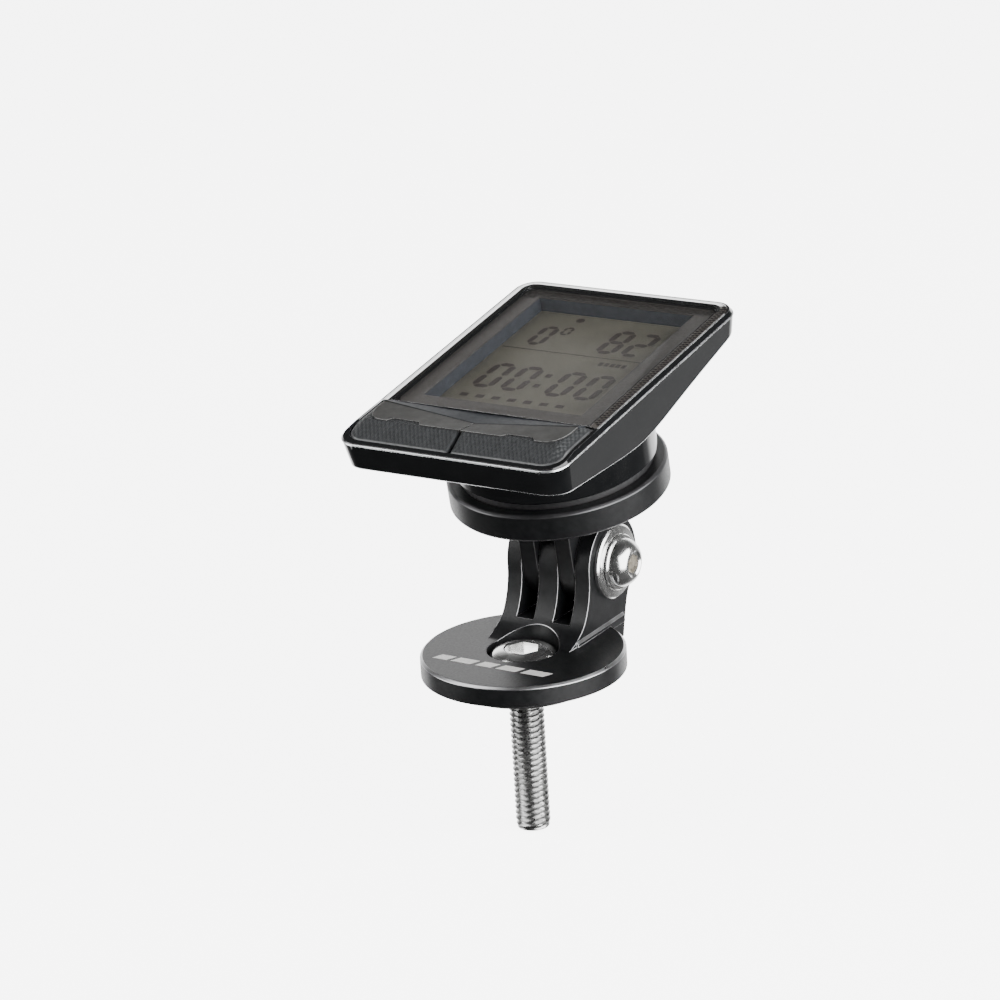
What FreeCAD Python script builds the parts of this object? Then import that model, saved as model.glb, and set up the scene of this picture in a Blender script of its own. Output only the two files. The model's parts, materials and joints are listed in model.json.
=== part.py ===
import FreeCAD, Part
import math
import os

# Bicycle computer on a tilting stem-cap mount, in millimetres.
# Frame: origin at the centre of the stem cap's underside, +Z up the steerer, +Y to the front,
# +X to the right. The tilting head has a frame of its own: origin on the dock's top face,
# x right, y forward, z along the face's normal.

V = FreeCAD.Vector

# ---- stem cap and fork -------------------------------------------------------------------------
CAP_R = 17.4
CAP_T = 3.5
CAP_CHAMFER = 0.4
SPIGOT_R = 12.4
SPIGOT_L = 2.5
FORK_HALF = 8.1            # half the fork's whole width
FIN_MID = 1.9              # half the middle fin
FIN_IN = 5.25              # inner face of an outer fin
FIN_R = 7.9                # round end of the fins about the hinge
SLOT_FLOOR = CAP_T + 2.6
FOOT_SINK = 0.8            # how deep the fork's foot runs into the cap
FOOT_STEP = 0.35           # how far the foot stands out past the fins, and the slope above it
FOOT_LOW = 0.5             # height of the foot's upright edge
HINGE_Y = 17.2
HINGE_Z = CAP_T + 11.0
# side view of the fork, as (y, height over the cap's top)
FORK_SWEEP = ((1.6, 0.0), (4.1, 0.9), (5.7, 1.8), (7.0, 3.0), (8.0, 4.7), (8.8, 6.8), (9.2, 8.8))
FORK_HEEL = ((21.7, 3.9), (20.9, 1.8), (19.6, -CAP_T))
HEEL_START = -44.0         # where the heel leaves the round end, in degrees
FORK_ROOT_Y = 3.6          # the part of the fork that runs into the cap
FORK_TONGUE_Y = 14.0
FOOT_Y = 4.1
FOOT_LENGTH = 15.6

# ---- fasteners ---------------------------------------------------------------------------------
M6_R = 3.0
M6_LENGTH = 30.0
M6_SEAT_R = 6.15
M6_SEAT_DEPTH = 2.2
M6_HOLE_R = 3.2
M6_SOCKET = (5.0, 2.0)     # across flats, depth
M6_CROWN = (((5.8, 0.0), (5.8, 1.2)), ((4.8, 2.05), (3.3, 2.45)))      # edge of the head, then its dome
M6_NECK_R = 2.7            # plain neck above the thread
M6_THREAD_TOP = -3.0
M5_R = 2.5
M5_HEAD_R = 4.8
M5_SOCKET = (3.0, 1.8)
M5_CROWN = (((M5_HEAD_R, 0.0), (M5_HEAD_R, 0.6), (4.25, 0.6)), ((3.75, 2.05), (2.6, 3.1)))
M5_LENGTH = 18.0
M5_HOLE_R = 2.56
WASHER_R = 6.4
WASHER_T = 1.1
WASHER_CHAMFER = 0.25
SHANK_CHAMFER = 0.4
NUT_AF = 8.0
NUT_T = 2.7
NUT_BOSS_R = 5.6
NUT_BOSS_H = 1.2
NUT_SINK = 0.15            # how far the nut sits down in its boss
PLAY = 0.15                # room round a screw or its head

# ---- dock --------------------------------------------------------------------------------------
TILT = 9.26
DOCK_ABOVE_HINGE = 17.76
DOCK_BEHIND_HINGE = 0.38
DOCK_R = 18.84
DOCK_T = 4.91
DOCK_CHAMFER = 0.4
DOCK_POCKET_R = 15.6
DOCK_POCKET_DEPTH = 2.0
PRONG_IN = 2.025
PRONG_OUT = 5.125
PRONG_R = 7.8
INSERT_COLLAR_R = 16.6
INSERT_COLLAR_H = 1.0
INSERT_BOSS_R = 12.0
INSERT_BOSS_TOP = 4.0
INSERT_BOSS_BORE = 9.5
INSERT_FLOOR = 0.6
TAB_R = 14.2
TAB_LOW = 2.8
TAB_HALF_ANGLE = 30.0
INSERT_SCREW_Y = 6.5
INSERT_SCREW_R = 1.25
INSERT_SCREW_HEAD_R = 2.2
INSERT_SCREW_HEAD_H = 1.4
INSERT_SCREW_L = 4.6

# ---- computer head: outline and levels ---------------------------------------------------------
HEAD_W = 42.8              # at the seam, where the head is widest
HEAD_L = 62.4
HEAD_Y = -0.65             # middle of the head, behind the dock's axis
HEAD_CORNER = 3.9
CORNER_RATE = 0.85         # how fast the corner's radius falls as the outline moves in
DRAFT = 0.125              # how much the lower shell draws in for each mm below the seam
TOP = 18.27
SEAM = 17.1
RIM_TOP = 18.0             # outer edge of the border round the window
RIM_IN = 0.45              # how far the border's outer edge is in from the seam
RIM_DIP_Y = -24.3          # from here the border slopes down to the rider's edge
RIM_DIP_H = 0.25           # what is left of it there, over the seam
LIP = 0.55                 # the rear shell's thin outer lip at the seam
REBATE = 15.66             # top of the rear shell's wall inside that lip
GASKET_T = 0.35
WALL = 1.5
SPIGOT_IN = 1.95           # the front shell's spigot inside the rear shell
BELLY_WALL = 1.0
BELLY = ((-34.0, 13.0), (-29.0, 12.0), (-17.0, 10.15), (-9.5, 9.05), (-4.0, 8.7), (1.5, 9.15),
         (7.0, 10.1), (17.0, 11.85), (24.5, 13.0), (27.5, 13.6), (30.0, 14.6), (33.0, 16.6))
PEDESTAL_R = 17.3
PEDESTAL_LOW = 1.3
PEDESTAL_TOP = 13.4
CUP_R = 14.6
CUP_TOP = 4.5
LIP_R = 12.3
LIP_TOP = 2.5
ENTRY_HALF_ANGLE = 34.0
FLARE_LOW = 7.6
FLARE_TOP = 10.9
FLARE_R = 18.9
GROOVE_R = 15.7
GROOVE_IN = 12.5
GROOVE_TOP = 13.0

# ---- battery -----------------------------------------------------------------------------------
CELL_R = 10.0
CELL_T = 3.2
CELL_LOW = 6.35
WELL_R = 10.4
COVER_R = 11.3
COVER_BORE = 11.6
COVER_TOP = 5.9
COVER_LEDGE = 6.3
SLOT_HALF = 6.5            # half the coin slot's length
SLOT_DEPTH = 0.8
SEAL_MAJOR = 10.85
SEAL_MINOR = 0.3
CONTACT_T = 0.2

# ---- face --------------------------------------------------------------------------------------
LEDGE = 17.4               # shelf the lens is taped to
LENS_GAP = 2.15            # the lens's edge, in from the seam
LENS_LOW = 17.55
LENS_END = -16.9           # rider's end of the lens, from the head's middle
LENS_CHAMFER = 0.12
WINDOW_X = 15.25
WINDOW_Y0 = -12.6
WINDOW_Y1 = 25.75
MASK_X = 19.15
MASK_Y0 = -16.4
MASK_Y1 = 28.9
BEZEL_EDGE = 1.05
FRONT_LOW = 15.0
LCD_TOP = 14.95
LCD_T = 0.7
LCD_X = 15.7

# ---- keys --------------------------------------------------------------------------------------
BAY_X = 20.4
BAY_Y0 = -29.95
BAY_Y1 = -16.95
BAY_CORNER = 3.4
BAY_FLOOR = 16.25
SEAL_T = 0.3
KEY_LOW = 17.0
KEY_GAP = 0.15
PAD_GAP = 0.35             # half the groove between the two pads
RIDGE_Y = -25.5
RIDGE_H = 1.1
V_POINT_Y = -20.8
V_TIP_X = 18.5
V_TIP_Y = -18.9
V_TIP_H = 0.95
# heights over the lens at its rider's end, the V, the ridge and the lower edge
FIELD_HEIGHTS = (
    (-0.25, 0.0, RIDGE_H, -0.8),            # at x = 0
    (-0.05, V_TIP_H, RIDGE_H, -0.75),       # at the V's tip
    (-0.25, -0.15, -0.25, -1.05),           # at the side
)
PANEL_EDGE = ((18.6, -10.0), (18.55, -21.5), (18.2, -23.2), (17.5, -24.5), (16.4, -25.3), (15.2, RIDGE_Y),
              (0.0, RIDGE_Y), (0.0, -10.0))
NOTCH = ((7.3, -26.0), (8.5, -24.4), (13.3, -24.4), (14.5, -26.0))
KEY_X = 9.5
KEY_Y = -23.9
KEY_HOLE_R = 2.2
STEM_R = 1.5
STEM_LOW = 15.35
PAD_DROP = 0.12
INLAY_T = 0.5

# ---- circuit board -----------------------------------------------------------------------------
BOARD_LOW = 12.7
BOARD_T = 0.8
BOARD_CORNER = 1.5
BOARD_TOP = BOARD_LOW + BOARD_T
BOARD_X = 15.4
BOARD_Y0 = -25.4
BOARD_Y1 = 11.0
BOARD_SCREW_X = 12.6
BOARD_SCREW_Y = 8.6
BOARD_SCREW_R = 0.7
SWITCH_TOP = 14.7
SWITCH_FLOOR = 13.8
PLUNGER_R = 1.1
PLUNGER_LOW = 14.35
# parts under the board, as (x, y, width, length, height)
MAIN_CHIP = (-6.5, -11.5, 7.0, 7.0, 0.9)
RADIO_MODULE = (5.5, -12.5, 6.0, 4.5, 1.0)
PASSIVE = (0.8, 1.6, 0.6)
PASSIVE_SPOTS = ((-12.5, -6.0), (-12.5, -3.5), (-12.5, -1.0), (12.3, -7.5), (12.3, -5.0), (12.3, -2.5))
CRYSTAL_R = 0.7
CRYSTAL_L = 5.0
CRYSTAL_X = -13.2
CRYSTAL_Y = 0.8
GUIDE_X = 14.6
GUIDE_Y0 = -9.5
GUIDE_Y1 = 21.0
LED_X = 1.6
LED_T = 0.6
ZEBRA_X = 14.0
SCREW_X = 17.7
SCREW_SITES = ((-27.0, 11.9), (18.5, 12.4))     # each: y, and the underside of the screw's head
SCREW_R = 0.8
SCREW_HEAD_R = 1.6
SCREW_HEAD_H = 1.0
SCREW_TIP = 15.6
BOSS_R = 1.8
BOSS_TOP = 14.9

FAR = 60.0                 # longer than anything it cuts
SKIM = 0.05


# ---- helpers -----------------------------------------------------------------------------------
def block(x0, x1, y0, y1, z0, z1):
    return Part.makeBox(x1 - x0, y1 - y0, z1 - z0, V(x0, y0, z0))


def disc(r, z0, z1, x=0.0, y=0.0):
    return Part.makeCylinder(r, z1 - z0, V(x, y, z0), V(0, 0, 1))


def ring(r_out, r_in, z0, z1):
    return disc(r_out, z0, z1).cut(disc(r_in, z0 - 1, z1 + 1))


def rod_x(r, x0, x1, y, z):
    return Part.makeCylinder(r, x1 - x0, V(x0, y, z), V(1, 0, 0))


def fuse(shapes):
    return shapes[0].multiFuse(shapes[1:]).removeSplitter() if len(shapes) > 1 else shapes[0]


def rounded_wire(x0, x1, y0, y1, r, z):
    k = r * (1 - math.sqrt(0.5))
    arcs = [
        ((x1, y1 - r), (x1 - k, y1 - k), (x1 - r, y1)),
        ((x0 + r, y1), (x0 + k, y1 - k), (x0, y1 - r)),
        ((x0, y0 + r), (x0 + k, y0 + k), (x0 + r, y0)),
        ((x1 - r, y0), (x1 - k, y0 + k), (x1, y0 + r)),
    ]
    edges = []
    for i, (a, b, c) in enumerate(arcs):
        edges.append(Part.Arc(V(*a, z), V(*b, z), V(*c, z)).toShape())
        nxt = arcs[(i + 1) % len(arcs)][0]
        edges.append(Part.LineSegment(V(*c, z), V(*nxt, z)).toShape())
    return Part.Wire(edges)


def rounded_block(x0, x1, y0, y1, r, z0, z1):
    return Part.Face(rounded_wire(x0, x1, y0, y1, r, z0)).extrude(V(0, 0, z1 - z0))


def head_block(inset, z0, z1):
    """The head's rounded outline, moved in by inset."""
    hx = HEAD_W / 2 - inset
    hy = HEAD_L / 2 - inset
    return rounded_block(-hx, hx, HEAD_Y - hy, HEAD_Y + hy, HEAD_CORNER - CORNER_RATE * inset, z0, z1)


def drafted_block(inset, z0, z1):
    """The lower shell's outline, moved in by inset at the seam and drawn in further below it."""
    wires = []
    for z in (z0, z1):
        i = inset + DRAFT * (SEAM - z)
        hx, hy = HEAD_W / 2 - i, HEAD_L / 2 - i
        wires.append(rounded_wire(-hx, hx, HEAD_Y - hy, HEAD_Y + hy, HEAD_CORNER - CORNER_RATE * inset, z))
    return Part.makeLoft(wires, True, True)


def prism(points, z0, z1):
    wire = Part.makePolygon([V(x, y, z0) for x, y in points + points[:1]])
    return Part.Face(wire).extrude(V(0, 0, z1 - z0))


def prism_x(points, x0, x1):
    wire = Part.makePolygon([V(x0, y, z) for y, z in points + points[:1]])
    return Part.Face(wire).extrude(V(x1 - x0, 0, 0))


def hexagon(across_flats, z0, z1):
    r = across_flats / math.sqrt(3)
    angles = [math.radians(60 * i) for i in range(6)]
    return prism([(r * math.cos(a), r * math.sin(a)) for a in angles], z0, z1)


def sector(r, half_angle, z0, z1, turn):
    """A pie slice of a disc, centred on the direction turn, in degrees from +X."""
    slice_ = Part.makeCylinder(r, z1 - z0, V(0, 0, z0), V(0, 0, 1), 2 * half_angle)
    slice_.rotate(V(0, 0, 0), V(0, 0, 1), turn - half_angle)
    return slice_


def cross(half_width, reach, z0, z1):
    """The two slots of a cross recess."""
    w = half_width
    return [block(-w, w, -reach, reach, z0, z1), block(-reach, reach, -w, w, z0, z1)]


def along_x(shape, x, y, z):
    """Turn a shape made along +Z to lie along +X, with its origin moved to (x, y, z)."""
    shape.rotate(V(0, 0, 0), V(0, 1, 0), 90)
    shape.translate(V(x, y, z))
    return shape


def mirrored(shape):
    return shape.mirror(V(0, 0, 0), V(1, 0, 0))


def chamfered(shape, size, pick):
    return shape.makeChamfer(size, [e for e in shape.Edges if pick(e.BoundBox)])


def at_level(z, r_min=0.0):
    def pick(b):
        return abs(b.ZMin - z) < 1e-4 and abs(b.ZMax - z) < 1e-4 and b.XLength > r_min
    return pick


def headed(crown, shank_r, length, socket):
    """A domed screw along Z: head from z = 0 up, shank below, hexagon socket in the crown.

    The crown holds (radius, height) points: those up to where the dome starts, then one on the
    dome and its end.
    """
    across_flats, depth = socket
    points = [V(r, 0, z) for r, z in crown[0]]
    middle, top = [V(r, 0, z) for r, z in crown[1]]
    profile = [
        Part.makePolygon([V(0, 0, 0)] + points),
        Part.Arc(points[-1], middle, top).toShape(),
        Part.makePolygon([top, V(0, 0, top.z), V(0, 0, 0)]),
    ]
    head = Part.Face(Part.Wire([e for s in profile for e in s.Edges])).revolve(V(0, 0, 0), V(0, 0, 1), 360)
    shank = disc(shank_r, -length, SKIM)
    shank = chamfered(shank, SHANK_CHAMFER, at_level(-length))
    return fuse([head, shank]).cut(hexagon(across_flats, top.z - depth, top.z + 1))


# ---- base: cap, fork and the two big bolts -----------------------------------------------------
def fork_side():
    """The fork's side view: a toe that sweeps up to round fins, in the YZ plane at x = 0."""
    y, z = HINGE_Y, HINGE_Z
    rear = [V(0, py, CAP_T + h) for py, h in FORK_SWEEP] + [V(0, y - FIN_R, z)]
    sweep = Part.BSplineCurve()
    sweep.interpolate(Points=rear, InitialTangent=V(0, 1.0, 0.2), FinalTangent=V(0, 0, 1))
    a = math.radians(HEEL_START)
    drop = V(0, y + FIN_R * math.cos(a), z + FIN_R * math.sin(a))
    heel = [drop] + [V(0, py, CAP_T + h) for py, h in FORK_HEEL]
    back = Part.BSplineCurve()
    leaving = V(0, math.sin(a), -math.cos(a))
    back.interpolate(Points=heel, InitialTangent=leaving, FinalTangent=V(0, -0.2, -1.0))
    sunk = CAP_T - FOOT_SINK
    foot = [heel[-1], V(0, FORK_TONGUE_Y, 0), V(0, FORK_TONGUE_Y, sunk), V(0, FORK_ROOT_Y, sunk), rear[0]]
    edges = [
        sweep.toShape(),
        Part.Arc(rear[-1], V(0, y, z + FIN_R), drop).toShape(),
        back.toShape(),
        Part.makePolygon(foot),
    ]
    wire = Part.Wire([e for s in edges for e in s.Edges])
    return Part.Face(wire)


def foot_edge():
    """The low step along each side of the fork, where it stands on the cap."""
    out = FORK_HALF + FOOT_STEP
    section = [(FORK_HALF - 1, CAP_T - FOOT_SINK), (out, CAP_T - FOOT_SINK), (out, CAP_T + FOOT_LOW),
               (FORK_HALF, CAP_T + FOOT_LOW + FOOT_STEP), (FORK_HALF - 1, CAP_T + FOOT_LOW + FOOT_STEP)]
    wire = Part.makePolygon([V(x, FOOT_Y, z) for x, z in section + section[:1]])
    strip = Part.Face(wire).extrude(V(0, FOOT_LENGTH, 0))
    return [strip, mirrored(strip)]


def fork():
    face = fork_side()
    face.translate(V(-FORK_HALF, 0, 0))
    solid = face.extrude(V(2 * FORK_HALF, 0, 0))
    for side in (1, -1):
        xs = sorted((side * FIN_MID, side * FIN_IN))
        solid = solid.cut(block(xs[0], xs[1], 0, FAR, SLOT_FLOOR, FAR))
    return solid


def stem_cap():
    plate = chamfered(disc(CAP_R, 0, CAP_T), CAP_CHAMFER, at_level(CAP_T))
    spigot = chamfered(disc(SPIGOT_R, -SPIGOT_L, 0), CAP_CHAMFER, at_level(-SPIGOT_L))
    nut_boss = rod_x(NUT_BOSS_R, -FORK_HALF - NUT_BOSS_H, -FORK_HALF, HINGE_Y, HINGE_Z)
    solid = fuse([plate, spigot, fork(), nut_boss] + foot_edge())
    seat = disc(M6_SEAT_R, CAP_T - M6_SEAT_DEPTH, HINGE_Z)
    hole = disc(M6_HOLE_R, -SPIGOT_L - 1, CAP_T)
    hinge_hole = rod_x(M5_HOLE_R, -FAR, FAR, HINGE_Y, HINGE_Z)
    x_nut = -FORK_HALF - NUT_BOSS_H
    nut_pocket = along_x(hexagon(NUT_AF + 2 * SKIM, -1, NUT_T + NUT_SINK + SKIM), x_nut, HINGE_Y, HINGE_Z)
    return solid.cut([seat, hole, hinge_hole, nut_pocket])


def cap_bolt():
    bolt = headed(M6_CROWN, M6_R, M6_LENGTH, M6_SOCKET)
    bolt.translate(V(0, 0, CAP_T - M6_SEAT_DEPTH))
    neck = ring(M6_R + 1, M6_NECK_R, M6_THREAD_TOP, CAP_T - M6_SEAT_DEPTH)
    return bolt.cut(neck)


def hinge_bolt():
    bolt = headed(M5_CROWN, M5_R, M5_LENGTH, M5_SOCKET)
    return along_x(bolt, FORK_HALF + WASHER_T, HINGE_Y, HINGE_Z)


def hinge_washer():
    washer = ring(WASHER_R, M5_R + PLAY, 0, WASHER_T)
    washer = chamfered(washer, WASHER_CHAMFER, at_level(WASHER_T, 2 * M5_HEAD_R))
    return along_x(washer, FORK_HALF, HINGE_Y, HINGE_Z)


def hinge_nut():
    nut = hexagon(NUT_AF, 0, NUT_T).cut(disc(M5_R, -1, NUT_T + 1))
    return along_x(nut, -FORK_HALF - NUT_BOSS_H + NUT_SINK, HINGE_Y, HINGE_Z)


# ---- dock --------------------------------------------------------------------------------------
def prong_side():
    """A prong's side view: flared under the disc, straight, and round about the hinge."""
    y, z, r = DOCK_BEHIND_HINGE, -DOCK_ABOVE_HINGE, PRONG_R
    root, flare = -DOCK_T + 0.3, 1.6
    low = root - 2 * flare
    outline = [
        Part.makePolygon([V(0, y - r, z), V(0, y - r, low), V(0, y - r - flare, root),
                          V(0, y + r + flare, root), V(0, y + r, low), V(0, y + r, z)]),
        Part.Arc(V(0, y + r, z), V(0, y, z - r), V(0, y - r, z)).toShape(),
    ]
    return Part.Face(Part.Wire([e for s in outline for e in s.Edges]))


def dock_plate():
    plate = disc(DOCK_R, -DOCK_T, 0)
    plate = chamfered(plate, DOCK_CHAMFER, lambda b: b.ZLength < 1e-4)
    plate = plate.cut(disc(DOCK_POCKET_R, -DOCK_POCKET_DEPTH, 1))
    prongs = []
    for x in (PRONG_IN, -PRONG_OUT):
        side = prong_side()
        side.translate(V(x, 0, 0))
        prongs.append(side.extrude(V(PRONG_OUT - PRONG_IN, 0, 0)))
    solid = fuse([plate] + prongs)
    bore = rod_x(M5_HOLE_R, -FAR, FAR, DOCK_BEHIND_HINGE, -DOCK_ABOVE_HINGE)
    taps = [disc(INSERT_SCREW_R, -DOCK_T - 1, 1, 0, y) for y in (-INSERT_SCREW_Y, INSERT_SCREW_Y)]
    return solid.cut([bore] + taps)


def dock_insert():
    """The plastic bayonet that the computer turns onto."""
    parts = [
        disc(DOCK_POCKET_R - 0.1, -DOCK_POCKET_DEPTH, 0),
        disc(INSERT_COLLAR_R, 0, INSERT_COLLAR_H),
        disc(INSERT_BOSS_R, INSERT_COLLAR_H - SKIM, INSERT_BOSS_TOP),
    ]
    for turn in (0, 180):
        parts.append(sector(TAB_R, TAB_HALF_ANGLE, TAB_LOW, INSERT_BOSS_TOP, turn))
    solid = fuse(parts).cut(disc(INSERT_BOSS_BORE, INSERT_FLOOR, FAR))
    holes = [disc(INSERT_SCREW_R + 0.1, -FAR, FAR, 0, y) for y in (-INSERT_SCREW_Y, INSERT_SCREW_Y)]
    return solid.cut(holes)


def insert_screws():
    screws = []
    for y in (-INSERT_SCREW_Y, INSERT_SCREW_Y):
        top = INSERT_SCREW_HEAD_H
        head = chamfered(disc(INSERT_SCREW_HEAD_R, 0, top), 0.4, at_level(top))
        head = head.cut(cross(0.3, 1.3, top / 2, top + 1))
        screw = fuse([head, disc(INSERT_SCREW_R, -INSERT_SCREW_L, SKIM)])
        screw.translate(V(0, y, INSERT_FLOOR))
        screws.append(screw)
    return Part.makeCompound(screws)


# ---- computer: shells --------------------------------------------------------------------------
def belly(up):
    """Everything over the case's curved underside, which is raised by up."""
    curve = Part.BSplineCurve()
    curve.interpolate([V(-FAR, y, z + up) for y, z in BELLY])
    start, end = curve.StartPoint, curve.EndPoint
    lid = Part.makePolygon([end, V(-FAR, end.y, FAR), V(-FAR, start.y, FAR), start])
    face = Part.Face(Part.Wire([curve.toShape()] + lid.Edges))
    return face.extrude(V(2 * FAR, 0, 0))


def case_screw_sites():
    return [(sx * SCREW_X, y, low) for y, low in SCREW_SITES for sx in (-1, 1)]


def rear_case():
    shell = drafted_block(0, 7.0, SEAM).common(belly(0))
    pedestal = chamfered(disc(PEDESTAL_R, PEDESTAL_LOW, PEDESTAL_TOP), 0.3, at_level(PEDESTAL_LOW))
    flare = Part.makeCone(PEDESTAL_R, FLARE_R, FLARE_TOP - FLARE_LOW, V(0, 0, FLARE_LOW))
    outside = fuse([shell, pedestal, flare, disc(FLARE_R, FLARE_TOP, PEDESTAL_TOP)])
    room = drafted_block(WALL, 7.0, SEAM + 1).common(belly(BELLY_WALL))
    solid = outside.cut(room)
    bosses = [disc(BOSS_R, 7.0, BOSS_TOP, x, y).common(belly(SKIM)) for x, y, _ in case_screw_sites()]
    bosses = [b.common(drafted_block(0.5, 7.0, SEAM)) for b in bosses]
    solid = fuse([solid] + bosses)
    cuts = [
        disc(WELL_R, COVER_TOP, FAR),
        disc(COVER_BORE, CUP_TOP - SKIM, COVER_LEDGE),
        disc(CUP_R, LIP_TOP, CUP_TOP),
        disc(LIP_R, 0, LIP_TOP + SKIM),
        ring(GROOVE_R, GROOVE_IN, COVER_LEDGE, GROOVE_TOP),
        head_block(LIP, REBATE, SEAM + 1),
    ]
    for turn in (90, 270):
        cuts.append(sector(CUP_R, ENTRY_HALF_ANGLE, 0, LIP_TOP + SKIM, turn))
    for x, y, low in case_screw_sites():
        cuts.append(disc(SCREW_HEAD_R + PLAY, 0, low + SCREW_HEAD_H, x, y))
        cuts.append(disc(SCREW_R + 0.1, 0, FAR, x, y))
    return solid.cut(cuts)


def lens_outline(inset, z0, z1):
    cover = head_block(LENS_GAP + inset, z0, z1)
    return cover.common(block(-FAR, FAR, HEAD_Y + LENS_END, FAR, z0, z1))


def bay_outline(inset, z0, z1):
    x = BAY_X - inset
    lower, upper = HEAD_Y + BAY_Y0 + inset, HEAD_Y + BAY_Y1
    body = rounded_block(-x, x, lower, upper + 2 * BAY_CORNER, BAY_CORNER - inset, z0, z1)
    return body.common(block(-FAR, FAR, -FAR, upper - inset, z0, z1))


def window_block(edge, z0, z1):
    x = WINDOW_X + edge
    return block(-x, x, HEAD_Y + WINDOW_Y0 - edge, HEAD_Y + WINDOW_Y1 + edge, z0, z1)


def rim():
    """The front shell's outside: a sloping edge up from the seam, then the border round the window."""
    wires = []
    for inset, z in ((0.0, SEAM), (RIM_IN, RIM_TOP), (LENS_GAP, TOP)):
        hx, hy = HEAD_W / 2 - inset, HEAD_L / 2 - inset
        wires.append(rounded_wire(-hx, hx, HEAD_Y - hy, HEAD_Y + hy, HEAD_CORNER - CORNER_RATE * inset, z))
    solid = Part.makeLoft(wires, True, True)
    y0, y1 = HEAD_Y + RIM_DIP_Y, HEAD_Y - HEAD_L / 2
    z0, z1 = RIM_TOP + SKIM, SEAM + RIM_DIP_H
    slope = prism_x([(y0, z0), (y1, z1), (y1 - 5, z1), (y1 - 5, FAR), (y0, FAR)], -FAR, FAR)
    return solid.cut(slope)


def front_case():
    skirt = head_block(LIP + 0.04, REBATE + GASKET_T, SEAM + SKIM)
    spigot = head_block(SPIGOT_IN, FRONT_LOW, SEAM)
    solid = fuse([rim(), skirt, spigot])
    bay = bay_outline(0, BAY_FLOOR, FAR)
    cuts = [lens_outline(-SKIM, LEDGE, FAR), bay, window_block(BEZEL_EDGE, 0, FAR)]
    for side in (-1, 1):
        cuts.append(disc(KEY_HOLE_R, 0, FAR, side * KEY_X, HEAD_Y + KEY_Y))
    for x, y, _ in case_screw_sites():
        cuts.append(disc(SCREW_R, 0, SCREW_TIP + PLAY, x, y))
    return solid.cut(cuts)


def case_gasket():
    """The flat seal on the rear shell's wall, under the front shell's skirt."""
    outer = head_block(LIP + 0.1, REBATE, REBATE + GASKET_T)
    return outer.cut(head_block(WALL - 0.05, REBATE - 1, REBATE + 1))


def case_screws():
    screws = []
    for x, y, low in case_screw_sites():
        head = disc(SCREW_HEAD_R, 0, SCREW_HEAD_H)
        head = head.cut(cross(0.22, 1.0, -1, SCREW_HEAD_H / 2))
        screw = fuse([head, disc(SCREW_R, SCREW_HEAD_H - SKIM, SCREW_TIP - low)])
        screw.translate(V(x, y, low))
        screws.append(screw)
    return Part.makeCompound(screws)


# ---- computer: face ----------------------------------------------------------------------------
def display_lens():
    """The clear cover, flush in the border, with a fine chamfer round its top."""
    return chamfered(lens_outline(0, LENS_LOW, TOP), LENS_CHAMFER, at_level(TOP))


def window_mask():
    """The printed and taped border behind the lens."""
    sheet = rounded_block(-MASK_X, MASK_X, HEAD_Y + MASK_Y0, HEAD_Y + MASK_Y1, 2.4, LEDGE, LENS_LOW)
    return sheet.cut(window_block(0, 0, FAR))


def lcd_bezel():
    """The frame that the display sits behind; its walls show through the window."""
    frame = window_block(BEZEL_EDGE - 0.05, FRONT_LOW, LEDGE)
    return frame.cut(window_block(0, 0, FAR))


def lcd_glass():
    y0 = HEAD_Y + WINDOW_Y0 - 2.2
    y1 = HEAD_Y + WINDOW_Y1 + 0.55
    lower = block(-LCD_X, LCD_X, y0, y1, LCD_TOP - LCD_T, LCD_TOP - LCD_T / 2)
    upper = block(-LCD_X, LCD_X, y0 + 1.6, y1, LCD_TOP - LCD_T / 2, LCD_TOP)
    return fuse([lower, upper])


def light_guide():
    y0, y1 = HEAD_Y + GUIDE_Y0, HEAD_Y + GUIDE_Y1
    return block(-GUIDE_X, GUIDE_X, y0, y1, BOARD_TOP + PLAY, LCD_TOP - LCD_T)


def backlight_led():
    y = HEAD_Y + GUIDE_Y0
    return block(-LED_X, LED_X, y - 1.4, y - 0.1, BOARD_TOP, BOARD_TOP + LED_T)


def zebra_connector():
    y = HEAD_Y + WINDOW_Y0 - 1.5
    return block(-ZEBRA_X, ZEBRA_X, y - 0.5, y + 0.5, BOARD_TOP, LCD_TOP - LCD_T)


# ---- computer: keys ----------------------------------------------------------------------------
def key_section(x, v_y, heights, low):
    ys = (BAY_Y1 - 0.05, v_y, RIDGE_Y, BAY_Y0 + 0.05)
    points = [V(x, HEAD_Y + y, TOP + h) for y, h in zip(ys, heights)]
    points += [V(x, HEAD_Y + ys[-1], low), V(x, HEAD_Y + ys[0], low)]
    return Part.makePolygon(points + points[:1])


def key_field(low):
    """The raised field below the lens, right half: low in the V's middle, high at ridge and tips."""
    places = ((0.0, V_POINT_Y), (V_TIP_X, V_TIP_Y), (BAY_X, V_TIP_Y))
    sections = [key_section(x, y, heights, low) for (x, y), heights in zip(places, FIELD_HEIGHTS)]
    halves = [Part.makeLoft(sections[i:i + 2], True, True) for i in (0, 1)]
    return fuse(halves)


def accent_outline(grow, low):
    y_tip = HEAD_Y + V_TIP_Y - grow
    y_mid = HEAD_Y + V_POINT_Y - grow
    x_tip = V_TIP_X + grow
    return prism([(-1, FAR), (x_tip, FAR), (x_tip, y_tip), (0, y_mid), (-1, y_mid)], low, FAR)


def key_outline(gap):
    """Where a key's top may be: inside the bay, clear of the slit and of the accent trim."""
    field = bay_outline(KEY_GAP, KEY_LOW, FAR)
    field = field.common(block(gap, FAR, -FAR, FAR, 0, FAR))
    return field.cut(accent_outline(2 * KEY_GAP, 0))


def panel_outline():
    """The smooth panel: along the V above, with a rounded outer corner and a notch in its lower edge."""
    outer = prism([(x, HEAD_Y + y) for x, y in PANEL_EDGE], 0, FAR)
    notch = prism([(x, HEAD_Y + y) for x, y in NOTCH], -1, FAR)
    return outer.cut(notch)


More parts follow.
